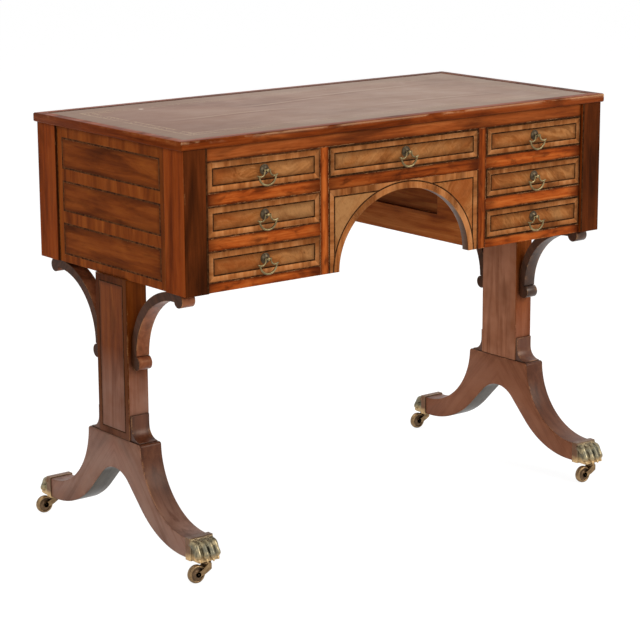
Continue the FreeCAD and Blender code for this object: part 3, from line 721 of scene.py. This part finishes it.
class Bundle:
    """Several forms gathered into one mesh, each with its own material."""

    def __init__(self):
        self.points, self.faces, self.picks, self.dirt = [], [], [], []

    def add(self, form, pick=0, dirt=None):
        points, faces = form
        start = len(self.points)
        self.points += points
        self.dirt += dirt or [0.0] * len(points)
        self.faces += [tuple(i + start for i in face) for face in faces]
        self.picks += [pick] * len(faces)

    def pick_by(self, choose):
        """Picks each face's material by its middle point."""
        middles = [sum((self.points[i] for i in face), Vector()) / len(face) for face in self.faces]
        self.picks = [choose(middle) for middle in middles]

    def piece(self, name, materials, smooth=True):
        return make_piece(name, self.points, self.faces, materials, self.picks, smooth, self.dirt)


def smooth_by_angle(piece, degrees=32):
    piece.data.set_sharp_from_angle(angle=radians(degrees))


def ease_edges(piece, width, limit=SHARP):
    """Rounds a piece's edges in the render with a modifier, its own mesh left as it is."""
    bevel = piece.modifiers.new("ease", "BEVEL")
    bevel.width = width
    bevel.segments = 2
    bevel.limit_method = "ANGLE"
    bevel.angle_limit = limit


def paint(node, *materials, choose=None):
    give_materials(nodes[node].data, materials, choose)


def skin_over(name, covered, is_joint, width, materials, choose):
    """One skin over some solids, without the joints between them, its edges rounded."""
    skin = bmesh.new()
    for node in covered:
        skin.from_mesh(nodes[node].data)
    bmesh.ops.remove_doubles(skin, verts=skin.verts, dist=SKIN_WELD)
    joint = [face for face in skin.faces if is_joint(face)]
    bmesh.ops.delete(skin, geom=joint, context="FACES")
    bmesh.ops.dissolve_limit(skin, angle_limit=SKIN_FLAT, verts=skin.verts, edges=skin.edges)
    sharp = [e for e in skin.edges if len(e.link_faces) == 2 and e.calc_face_angle() > SHARP]
    bmesh.ops.bevel(skin, geom=sharp, offset=width, segments=3, profile=0.5, affect="EDGES")
    mesh = bpy.data.meshes.new(name)
    skin.to_mesh(mesh)
    skin.free()
    give_materials(mesh, materials, choose)
    mesh.polygons.foreach_set("use_smooth", [True] * len(mesh.polygons))
    piece = put_in_scene(name, mesh)
    smooth_by_angle(piece, 40)
    dress(piece, "table", "mahogany", *covered)


# Carcass, top and supports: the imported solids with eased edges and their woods
PLAIN_WOODS = {"top_core": core_wood, "frieze_rail": frieze_wood, "back_panel": back_wood,
               "dust_boards": board_wood, "drawer_guides": board_wood, "foot_coves": cove_wood,
               "end_panel_left": end_stile_wood, "end_panel_right": end_stile_wood}
EASED = ("corner_posts", "brackets", "foot_coves", "arch_apron", "back_panel", "column_left", "column_right")


def faces_x(n):
    return abs(n.x) > STEEP


def faces_y(n):
    return abs(n.y) > STEEP


def dress_solids():
    """Paints the solids with woods picked by where a face lies and looks, and skins over mitres and seams."""
    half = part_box("top_border")[1]

    def top_board(c, n):
        if half.x - abs(c.x) < half.y - abs(c.y):
            return 1
        return 0 if c.y < 0 else 2

    def on_mitre(face):
        return abs(face.normal.x) > MITRE and abs(face.normal.y) > MITRE

    def on_seam(face):
        return all(abs(v.co.y) < WELD for v in face.verts)

    # Leg faces: outer sides take the leg wood, front and top faces a darker copy (painted shade), undersides
    # painted shade
    def leg_face(c, n):
        if faces_x(n):
            return 0
        return 2 if n.z < UNDERSIDE else 1

    def front_face(c, n):
        return faces_y(n)

    def wall_face(c, n):
        return faces_x(n) and OPENINGS[0] + WALL_MARGIN < abs(c.x) < OPENINGS[1] - WALL_MARGIN

    def column_face(c, n):
        if faces_y(n) and c.x > 0:
            return 1
        return 2 if faces_x(n) and n.x * c.x > 0 else 0

    def bracket_face(c, n):
        if faces_x(n):
            return 1
        return 2 if c.x > 0 else 0

    skin_over("top_edge", ["top_border"], on_mitre, TOP_EASE, [edge_wood_x, edge_wood_y, edge_wood_back],
              top_board)
    for name, material in PLAIN_WOODS.items():
        paint(name, material)
    paint("corner_posts", post_side_wood, post_front_wood, choose=front_face)
    paint("drawer_rails", rail_wood, rail_dark_wood, choose=lambda c, n: abs(c.x) < CENTRE_RAIL_HALF)
    paint("mullions", mullion_wood, mullion_dark_wood, choose=lambda c, n: c.x > 0)
    paint("arch_apron", band_level, reveal_wood, choose=lambda c, n: not faces_y(n))
    paint("brackets", bracket_wood, bracket_side_wood, bracket_dark_wood, choose=bracket_face)
    for side in SIDES:
        paint("kneehole_side_" + side, wall_wood, wall_panel_wood, choose=wall_face)
        paint("column_" + side, column_wood[side], column_front_wood, column_margin_wood, choose=column_face)
        skin_over("base_" + side, ["leg_" + side + "_front", "leg_" + side + "_back"], on_seam, LEG_EASE,
                  [leg_wood[side], leg_top_shaded_wood[side], underside_shade_wood], leg_face)
    for name in DRAWERS:
        paint("drawer_" + name + "_front", front_wood)
        paint("drawer_" + name + "_box", lining_wood, lining_back_wood, choose=front_face)
    for name in EASED:
        nodes[name].modifiers.new("weld", "WELD").merge_threshold = WELD
        ease_edges(nodes[name], NODE_EASE)


# Veneers and strings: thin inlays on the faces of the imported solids
def shrunk(box, by):
    u0, u1, v0, v1 = box
    return u0 + by, u1 - by, v0 + by, v1 - by


def corners(box):
    u0, u1, v0, v1 = box
    return [(u0, v0), (u1, v0), (u1, v1), (u0, v1)]


class Inlay:
    """Flat patches on one face, drawn in its own two directions and lifted a hair off it."""

    def __init__(self, place):
        self.place = place
        self.bundle = Bundle()

    def patch(self, outline, pick, lift=INLAY_LIFT, dirt=None):
        top = [self.place(u, v, lift) for u, v in outline]
        foot = [self.place(u, v, 0) for u, v in outline]
        n = len(outline)
        faces = [tuple(range(n))]
        faces += [(i, i + n, (i + 1) % n + n, (i + 1) % n) for i in range(n)]
        self.bundle.add((top + foot, faces), pick, dirt * 2 if dirt else None)

    def frame(self, box, width, level, upright, lift=INLAY_LIFT, lowest=None):
        """Four mitred strips inside a box, with painted shade along the outside; level, upright and lowest
        ones picked apart.
        """
        outer, inner = corners(box), corners(shrunk(box, width))
        foot = level if lowest is None else lowest
        for i, pick in enumerate((foot, upright, level, upright)):
            j = (i + 1) % 4
            self.patch([outer[i], outer[j], inner[j], inner[i]], pick, lift, [1.0, 1.0, 0.0, 0.0])

    def panel(self, box, pick, lift=INLAY_LIFT, shaded_border=0.0):
        """A rectangle; where a border width is given, that border carries painted shade that fades inwards.
        """
        outline = corners(box)
        if not shaded_border:
            self.patch(outline, pick, lift)
            return
        points = [self.place(u, v, lift) for u, v in corners(shrunk(box, shaded_border)) + outline]
        points += [self.place(u, v, 0) for u, v in outline]
        faces = [(0, 1, 2, 3)]
        for i in range(4):
            j = (i + 1) % 4
            faces += [(i, i + 4, j + 4, j), (i + 4, i + 8, j + 8, j + 4)]
        self.bundle.add((points, faces), pick, [0.0] * 4 + [1.0] * 8)

    def finish(self, name, materials, body, slot):
        dress(self.bundle.piece(name, materials, False), body, slot)


def face_front(y):
    return lambda u, v, lift: Vector((u, y - lift, v))


def face_end(low, high, sign):
    x = low.x if sign < 0 else high.x
    return lambda u, v, lift: Vector((x + sign * lift, u, v))


FADING = {"left": (0.24, 0.0, GOLD), "centre": (0.06, 0.03, DIM_GOLD), "right": (0.04, -0.05, DIM_GOLD)}


def drawer_veneers():
    """Flame fields in a string, a cross-band and an edge line; level strips have upright grain. The edge line
    is partly painted shadow of the gap round the drawer, wider and ebony-dark on the centre and right
    drawers; the band's lowest strip is lighter, painted light from below.
    """
    string, upright_grain, level_grain, field, edge, lit_low_grain = range(6)
    for i, name in enumerate(DRAWERS):
        low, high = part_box("drawer_" + name + "_front")
        lean, fading, tones = FADING[name.split("_")[0]]
        flame = flame_veneer("flame_veneer_" + name, tones, (low.x + high.x) / 2, 2 * lean / (high.x - low.x),
                             fading, 3.1 + 1.7 * i, 20 - 12 * i)
        # The edge line paints part of the gap's shadow; on the centre and right drawers it is wider and
        # ebony-dark
        if name.startswith("left"):
            line, gap_shadow_ink = EDGE_LINE, edge
            upright_band, level_band, lit_low_band = band_upright, band_level, band_low_lit
        else:
            line, gap_shadow_ink = GAP_SHADOW_LINE, string
            upright_band, level_band, lit_low_band = dull_band_upright, dull_band_level, dull_band_low_lit
        art = Inlay(face_front(low.y))
        box = (low.x, high.x, low.z, high.z)
        for width, level, upright, lift, lowest in (
                (line, gap_shadow_ink, gap_shadow_ink, INLAY_LIFT, gap_shadow_ink),
                (BAND_WIDTH - line, upright_grain, level_grain, BAND_LIFT, lit_low_grain),
                (STRING_WIDTH, string, string, INLAY_LIFT, string)):
            art.frame(box, width, level, upright, lift, lowest)
            box = shrunk(box, width)
        art.panel(box, field, FIELD_LIFT, FIELD_SHADE)
        art.finish("drawer_" + name + "_veneer",
                   [string_wood, upright_band, level_band, flame, edge_line_wood, lit_low_band],
                   "drawer_" + name, "veneer")


def end_veneers():
    """Three strung fields on each end, cross-banded between and plain beside them."""
    line, band, stile, field = range(4)
    for side, sign in SIDES.items():
        low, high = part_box("end_panel_" + side)
        art = Inlay(face_end(low, high, sign))
        edges = [high.z] + [z for field_edges in END_FIELDS for z in field_edges] + [low.z]
        for top, bottom in zip(edges[0::2], edges[1::2]):
            art.panel((-END_HALF, END_HALF, bottom, top), band)
        for a, b in ((low.y, -END_HALF), (END_HALF, high.y)):
            art.panel((a, b, low.z, high.z), stile)
        for top, bottom in END_FIELDS:
            box = (-END_HALF, END_HALF, bottom, top)
            art.frame(box, END_STRING, line, line)
            art.panel(shrunk(box, END_STRING), field, INLAY_LIFT, FIELD_SHADE)
        for y in (low.y, high.y - EDGE_LINE):
            art.panel((y, y + EDGE_LINE, low.z, high.z), line, 2 * INLAY_LIFT)
        art.finish("end_veneer_" + side, [edge_line_wood, end_band_wood, end_stile_wood, end_wood],
                   "table", "veneer")


def apron_veneer():
    """Spandrel fields in a banded border, and a cross-banded arch edged with a string."""
    string, upright_grain, level_grain, field = range(4)
    low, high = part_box("arch_apron")
    foot = low.z
    flame = flame_veneer("flame_veneer_apron", GOLD, 0.0, -0.24 / high.x, 0.0, 27.0, 35)

    def on_arch(step, out):
        a = pi * step / ARCH_STEPS
        return ((ARCH_HALF + out) * cos(a), foot + (ARCH_RISE + out) * sin(a))

    def over_arch(u, out):
        return foot + (ARCH_RISE + out) * sqrt(max(0.0, 1 - (u / (ARCH_HALF + out)) ** 2))

    art = Inlay(face_front(low.y))
    inner = high.x - BAND_WIDTH
    top = high.z - BAND_WIDTH
    step = inner * 2 / ARCH_STEPS
    for i in range(ARCH_STEPS):
        u0 = -inner + step * i
        u1 = u0 + step
        z0, z1 = (min(over_arch(u, ARCH_BAND), top) for u in (u0, u1))
        if min(z0, z1) < top:
            art.patch([(u0, z0), (u1, z1), (u1, top), (u0, top)], field)
    art.patch([(-high.x, high.z), (-inner, top), (inner, top), (high.x, high.z)], upright_grain)
    for sign in (-1, 1):
        wide, narrow = sign * high.x, sign * inner
        art.patch([(wide, foot), (wide, high.z), (narrow, top), (narrow, foot)], level_grain)
        for edge, width, ceiling in ((inner, STRING_WIDTH, top), (high.x, EDGE_LINE, high.z)):
            u0, u1 = sorted((sign * edge, sign * (edge - width)))
            art.panel((u0, u1, foot, ceiling), string, LINE_LIFT)
    art.panel((-inner, inner, top - STRING_WIDTH, top), string, LINE_LIFT)
    for i in range(ARCH_STEPS):
        for out, width, pick in ((0, ARCH_BAND, upright_grain), (ARCH_BAND, STRING_WIDTH, string)):
            places = ((i, out), (i, out + width), (i + 1, out + width), (i + 1, out))
            art.patch([on_arch(*place) for place in places], pick, ARCH_LIFT)
    art.finish("apron_veneer", [string_wood, band_upright, band_level, flame], "table", "veneer")


def column_strings():
    """A string round the outer face of each column, and a hazed field inside it, with painted sheen of
    reflected light lower down.
    """
    for side, sign in SIDES.items():
        low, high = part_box("column_" + side)
        art = Inlay(face_end(low, high, sign))
        box = shrunk((low.y, high.y, low.z, high.z), COLUMN_STRING_INSET)
        art.frame(box, COLUMN_STRING_WIDTH, 0, 0)
        art.panel(shrunk(box, COLUMN_STRING_WIDTH), 1, INLAY_LIFT, COLUMN_FIELD_SHADE)
        art.finish("column_string_" + side, [string_wood, column_wood["left"]], "table", "mahogany")


def post_strings():
    """A dark line down each front post, beside the drawers."""
    low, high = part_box("corner_posts")
    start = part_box("end_panel_right")[0].x - POST_STRING_REACH + POST_STRING_INSET
    art = Inlay(face_front(low.y))
    for sign in (-1, 1):
        a, b = sorted((sign * start, sign * (start + POST_STRING_WIDTH)))
        art.panel((a, b, low.z + POST_STRING_FOOT, high.z), 0)
    art.finish("post_strings", [string_wood], "table", "mahogany")


# Writing leather: a slightly uneven skin with a few long creases
def leather_height(x, y):
    dip = 0.5 + 0.25 * sin(37 * x + 9 * sin(23 * y)) + 0.25 * sin(61 * y + 4 * sin(17 * x))
    z = leather_high.z - CREASE_HEIGHT - LEATHER_WAVE * dip
    for middle, half, line, sway, turns in CREASES:
        off = (y - line - sway * sin(turns * x)) / CREASE_WIDTH
        fade = max(0.0, 1 - ((x - middle) / half) ** 2)
        z += CREASE_HEIGHT * fade * exp(-off * off)
    return min(z, leather_high.z)


def leather_top():
    low, high = leather_low, leather_high
    points, faces = [], []
    for j in range(LEATHER_ROWS + 1):
        for i in range(LEATHER_COLUMNS + 1):
            x = low.x + (high.x - low.x) * i / LEATHER_COLUMNS
            y = low.y + (high.y - low.y) * j / LEATHER_ROWS
            points.append((x, y, leather_height(x, y)))
    for j in range(LEATHER_ROWS):
        for i in range(LEATHER_COLUMNS):
            a = j * (LEATHER_COLUMNS + 1) + i
            b = a + LEATHER_COLUMNS + 1
            faces.append((a, a + 1, b + 1, b))
    skin = make_piece("writing_leather", points, faces, [hide])
    dress(skin, "table", "leather", "leather_inset")


# Ring pulls: turned roses and cast drop rings
def through(a, b, c, steps):
    """Points on the arc from a by way of b to c, worked out in the plane of X and Z as complex numbers."""
    p, q, r = (complex(spot.x, spot.z) for spot in (a, b, c))
    w = (r - p) / (q - p)
    centre = p + (q - p) * (w - abs(w) ** 2) / (w - w.conjugate())
    start, middle, end = (phase(spot - centre) for spot in (p, q, r))
    span = (end - start) % (2 * pi)
    if (middle - start) % (2 * pi) > span:
        span -= 2 * pi
    arc = [centre + rect(abs(p - centre), start + span * i / steps) for i in range(steps + 1)]
    return [Vector((spot.real, a.y, spot.imag)) for spot in arc]


def drop_ring(centre):
    """A half round loop, thickest at its foot, whose shoulders turn out to points."""
    form = Bundle()
    head = Vector((RING_ARM_X, 0, 0))
    shoulder = Vector((RING_HALF, 0, -RING_SHOULDER))
    foot = Vector((0, 0, -RING_DROP))
    loop = through(shoulder, foot, Vector((-RING_HALF, 0, -RING_SHOULDER)), LOOP_STEPS)
    swell = [RING_WIRE * (0.9 + 0.25 * sin(pi * i / LOOP_STEPS)) for i in range(LOOP_STEPS + 1)]
    form.add(swept(loop, swell, (0, 1, 0)))
    belly = Vector(((RING_ARM_X + RING_HALF - RING_TIP) / 2, 0, -RING_BELLY))
    arm = [Vector((RING_ARM_X, 0, RING_WIRE))] + through(head, belly, shoulder, ARM_STEPS)
    arm_radii = [RING_WIRE * (0.75 + 0.2 * i / (ARM_STEPS + 1)) for i in range(ARM_STEPS + 2)]
    tip = [shoulder + Vector((RING_TIP * t, 0, RING_TIP * RING_TIP_RISE * t)) for t, share in RING_TIP_STEPS]
    tip_radii = [RING_WIRE * share for t, share in RING_TIP_STEPS]
    for sign in (1, -1):
        for path, radii in ((arm, arm_radii), (tip, tip_radii)):
            form.add(swept([Vector((sign * p.x, p.y, p.z)) for p in path], radii, (0, 1, 0)))
    form.add(turned(((-RING_ARM_X, RING_PIN), (RING_ARM_X, RING_PIN)), (0, 0, 0), (1, 0, 0), 20))
    form.points = [point + centre for point in form.points]
    return form


def ball(radius):
    angles = [pi * i / BALL_STEPS for i in range(BALL_STEPS + 1)]
    return [(-radius * cos(a), max(radius * sin(a), BALL_POLE)) for a in angles]


def pulls():
    for joint in frame["joints"]:
        if not joint["child"].startswith("ring_"):
            continue
        drawer = "drawer_" + joint["child"][len("ring_"):]
        centre = Vector(joint["pos_m"])
        face = Vector((centre.x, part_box(drawer + "_rose")[1].y, centre.z))
        rose = Bundle()
        rose.add(turned(scaled(ROSE_PROFILE), face, (0, -1, 0)))
        rose.add(turned(ball(EYE_RADIUS), centre, (1, 0, 0), 28), 1)
        piece = rose.piece(drawer + "_rosette", [rose_brass, pull_brass])
        smooth_by_angle(piece)
        dress(piece, drawer, "brass", drawer + "_rose")
        ring = drop_ring(centre).piece(drawer + "_drop", [pull_brass])
        smooth_by_angle(ring, 50)
        dress(ring, joint["child"], "brass", drawer + "_ring")


# Paw caps: cast toes with knuckles, tendons and claws, grown together with the socket
def toe_ring(t, x, aside, root, reach, rise):
    """The ring at the share t of a toe that bends from its root down to the floor."""
    a = t * pi / 2
    knuckle = 1 + 0.14 * cos(2 * pi * (1.6 * t - 0.55))
    close = 1.0 if t < TOE_ROUNDING else sqrt(max(0.0, 1 - ((t - TOE_ROUNDING) / 0.15) ** 2))
    radius = TOE_RADIUS * knuckle * max(close, 0.1)
    centre = Vector((x + TOE_SPLAY * t * aside, root + (reach - root) * sin(a) ** 0.92,
                     TOE_RADIUS * 0.95 + rise * cos(a) ** 0.85))
    return circle(centre, Vector((1, 0, 0)), Vector((0, sin(a), cos(a))), radius, TOE_SIDES)


def paw_form(width, length, height):
    """One paw about the socket's inner end: Y runs out to the claws, Z up from the sole."""
    form = Bundle()
    half = width / 2
    lip = half - SOCKET_LIP
    form.add(block(-half, half, 0, SOCKET_LENGTH - SOCKET_STEP, 0, height))
    form.add(block(-lip, lip, 0, SOCKET_LENGTH, 0, height - SOCKET_LIP_DROP))
    rise = height - SOCKET_WALL - TOE_RADIUS * 2
    root = SOCKET_LENGTH * 0.6
    for i in range(TOE_COUNT):
        aside = i - (TOE_COUNT - 1) / 2
        x = aside * TOE_PITCH
        reach = length - (OUTER_TOE_SHORTENING if i in (0, TOE_COUNT - 1) else 0) - TOE_RADIUS
        rings = [toe_ring(k / TOE_STEPS, x, aside, root, reach, rise) for k in range(TOE_STEPS + 1)]
        form.add(skin_rings(rings))
        claw_x = x + TOE_SPLAY * aside
        out = TOE_RADIUS - CLAW_INSET
        claw = [Vector((claw_x, reach + out * sin(s * pi / 2), CLAW_TOP - CLAW_DROP * s))
                for s in (0, 0.25, 0.5, 0.75, 1)]
        form.add(swept(claw, CLAW_RADII, (1, 0, 0)))
        for tendon_x in (x - TENDON_OFFSET, x + TENDON_OFFSET):
            tendon = [Vector((tendon_x, root + (reach - root) * sin(s), TOE_RADIUS + rise * cos(s)))
                      for s in TENDON_STEPS]
            form.add(swept(tendon, [TOE_RADIUS * 0.82] * len(tendon), (1, 0, 0)))
    middle_y = SOCKET_LENGTH * 0.5
    sole = [(middle_y, SOLE_LIFT), (middle_y, height * 0.86), (length * 0.62, height * 0.72),
            (length * 0.82, height * 0.36), (length - SOLE_TOE_GAP, SOLE_LIFT)]
    rings = [[Vector((x, y, z)) for y, z in sole] for x in (SOLE_INSET - half, half - SOLE_INSET)]
    form.add(skin_rings(rings))
    return form


def voxel_merge(piece, size, rounds):
    """Grows overlapping forms together into one cast skin and softens it."""
    remesh = piece.modifiers.new("merge", "REMESH")
    remesh.mode = "VOXEL"
    remesh.voxel_size = size
    relax = piece.modifiers.new("soften", "SMOOTH")
    relax.factor = 0.5
    relax.iterations = rounds
    merged = bpy.data.meshes.new_from_object(piece.evaluated_get(bpy.context.evaluated_depsgraph_get()))
    piece.modifiers.clear()
    old = piece.data
    piece.data = merged
    bpy.data.meshes.remove(old)


def paws():
    low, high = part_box("paw_caps")
    leg_low, leg_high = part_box("leg_right_back")
    start = leg_high.y - SOCKET_LENGTH + SOCKET_OVERLAP
    width = leg_high.x - leg_low.x + 2 * SOCKET_WALL
    middle = (leg_low.x + leg_high.x) / 2
    form = paw_form(width, high.y - start - PAW_CLEARANCE, high.z - low.z)
    cast = form.piece("paw_cast", [paw_brass])
    voxel_merge(cast, PAW_VOXEL, PAW_SOFTENING)
    for corner in CORNERS:
        sx = SIDES[corner.split("_")[0]]
        sy = -1 if corner.endswith("front") else 1
        mesh = cast.data.copy()
        mesh.transform(Matrix.Translation((sx * middle, sy * start, low.z)) @ Matrix.Diagonal((1, sy, 1, 1)))
        if sy < 0:
            mesh.flip_normals()
        mesh.polygons.foreach_set("use_smooth", [True] * len(mesh.polygons))
        paw = put_in_scene("paw_" + corner, mesh)
        dress(paw, "table", "brass")
        if corner == CORNERS[0]:
            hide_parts("paw_caps")
    bpy.data.objects.remove(cast)


# Casters: turned wheels between curved horns
def horn(pivot, axle, head_low, head_top, y0, y1):
    """One cheek: an arm that sweeps from a round end at the axle up to its head under the paw."""
    front, back = pivot.x + HEAD_FRONT, pivot.x - HEAD_BACK
    outline = []
    for k in range(HORN_END_STEPS + 1):
        a = radians(135 - 240 * k / HORN_END_STEPS)
        outline.append((axle.x + HORN_END * cos(a), axle.z + HORN_END * sin(a)))
    high_end, low_end = outline[0], outline[-1]

    def bowed(start, end, bend, steps):
        for k in steps:
            t = k / HORN_STEPS
            outline.append((start[0] + (end[0] - start[0]) * t,
                            start[1] + (end[1] - start[1]) * t + bend * sin(pi * t)))

    bowed(low_end, (front, head_low), HORN_LOW_BEND, range(1, HORN_STEPS + 1))
    outline += [(front, head_top), (back, head_top)]
    bowed((back, head_top), high_end, HORN_HIGH_BEND, range(1, HORN_STEPS))
    return skin_rings([[Vector((x, y, z)) for x, z in outline] for y in (y0, y1)])


def casters():
    places = {j["child"]: Vector(j["pos_m"]) for j in frame["joints"] if "pos_m" in j}
    far_face = [(-place, radius) for place, radius in WHEEL_FACE]
    rim = far_face + [(0, WHEEL_RADIUS)] + list(reversed(WHEEL_FACE))
    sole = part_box("paw_caps")[0].z
    head_top, head_low = sole - HEAD_TOP, sole - HEAD_LOW
    for corner in CORNERS:
        pivot = places["caster_" + corner]
        axle = places["wheel_" + corner]
        wheel = Bundle()
        wheel.add(turned(scaled(rim), axle, (0, 1, 0), 56))
        wheel.pick_by(lambda c: int(hypot(c.x - axle.x, c.z - axle.z) < WHEEL_DISH))
        piece = wheel.piece("caster_wheel_" + corner, [caster_brass, wheel_brass])
        smooth_by_angle(piece, 40)
        dress(piece, "wheel_" + corner, "brass", "caster_" + corner + "_wheel")
        fork = Bundle()
        plate = Vector((pivot.x, pivot.y, sole - PLATE_DEPTH))
        fork.add(turned(scaled(PLATE_PROFILE), plate, (0, 0, 1), 40))
        fork.add(block(pivot.x - HEAD_BACK, pivot.x + HEAD_FRONT, pivot.y - HEAD_HALF, pivot.y + HEAD_HALF,
                       head_low, head_top))
        for sign in (-1, 1):
            cheek = sorted((axle.y + sign * CHEEK_INNER, axle.y + sign * CHEEK_OUTER))
            fork.add(horn(pivot, axle, head_low, head_top, *cheek))
            rivet = Vector((axle.x, axle.y + sign * RIVET_OUT, axle.z))
            fork.add(turned(scaled(RIVET_PROFILE), rivet, (0, sign, 0), 16), 1)
        piece = fork.piece("caster_horns_" + corner, [caster_brass, wheel_brass])
        ease_edges(piece, FORK_EASE, FORK_SHARP)
        smooth_by_angle(piece, 40)
        dress(piece, "caster_" + corner, "brass", "caster_" + corner + "_fork")


# Stage, light and camera
def seen_ray(tree):
    """1 for rays from the camera, from reflections and through glass; 0 for light that falls on things."""
    value = add_node(tree, "LightPath", {}, "Is Camera Ray")
    for name in ("Is Glossy Ray", "Is Transmission Ray"):
        ray = add_node(tree, "LightPath", {}, name)
        value = add_node(tree, "Math", {0: value, 1: ray}, operation="MAXIMUM")
    return value


def stage():
    """A pale floor that keeps the shadow, and reads as white to the camera and in reflections."""
    floor = Finish("floor_pale", shade(WHITE, 0.9), 0.9, specular_ior_level=0.0)
    mottle = floor.noise(floor.place(3), 2, 0.5)
    floor.colour = floor.ramp(mottle, (0.3, shade(WHITE, 0.895)), (0.7, shade(WHITE, 0.905)))
    material = floor.done()
    glow = floor.add("Emission", {"Color": WHITE, "Strength": FLOOR_WHITE})
    share = floor.times(seen_ray(floor.tree), FLOOR_SHARE)
    both = floor.add("MixShader", {0: share, 1: floor.shader.outputs[0], 2: glow})
    feed(floor.tree, floor.tree.nodes["Material Output"].inputs["Surface"], both)
    edges = corners((-FLOOR_REACH, FLOOR_REACH, -FLOOR_REACH, FLOOR_REACH))
    ground = make_piece("floor", [(x, y, 0) for x, y in edges], [(0, 1, 2, 3)], [material], None, False)


def lamp(name, spot, target, size, power, colour):
    data = bpy.data.lights.new(name, "AREA")
    data.shape = "RECTANGLE"
    data.size, data.size_y = size
    data.energy = power
    data.color = colour
    piece = put_in_scene(name, data)
    piece.location = spot
    piece.rotation_mode = "QUATERNION"
    piece.rotation_quaternion = (Vector(target) - Vector(spot)).to_track_quat("-Z", "Y")


def lights():
    world = bpy.data.worlds.new("studio")
    bpy.context.scene.world = world
    world.use_nodes = True
    tree = world.node_tree
    shown = add_node(tree, "Background", {"Color": WHITE, "Strength": 1.0})
    fill = add_node(tree, "Background", {"Color": WHITE, "Strength": FILL_STRENGTH})
    both = add_node(tree, "MixShader", {0: seen_ray(tree), 1: fill, 2: shown})
    feed(tree, tree.nodes["World Output"].inputs["Surface"], both)
    for settings in LAMPS:
        lamp(*settings)


def camera():
    turn = Matrix.Rotation(VIEW_AZIMUTH, 4, "Z") @ Matrix.Rotation(pi / 2 - VIEW_ELEVATION, 4, "X")
    turn = turn @ Matrix.Rotation(VIEW_ROLL, 4, "Z")
    data = bpy.data.cameras.new("camera")
    data.sensor_width = SENSOR
    data.lens = FOCAL_PIXELS / IMAGE_PIXELS * SENSOR
    data.clip_end = CLIP_END
    piece = put_in_scene("camera", data)
    piece.matrix_world = Matrix.Translation(VIEW_TARGET) @ turn @ Matrix.Translation((0, 0, VIEW_DISTANCE))
    bpy.context.scene.camera = piece
    bpy.context.scene.view_settings.view_transform = "Standard"


dress_solids()
drawer_veneers()
end_veneers()
apron_veneer()
column_strings()
post_strings()
leather_top()
pulls()
paws()
casters()
stage()
lights()
camera()
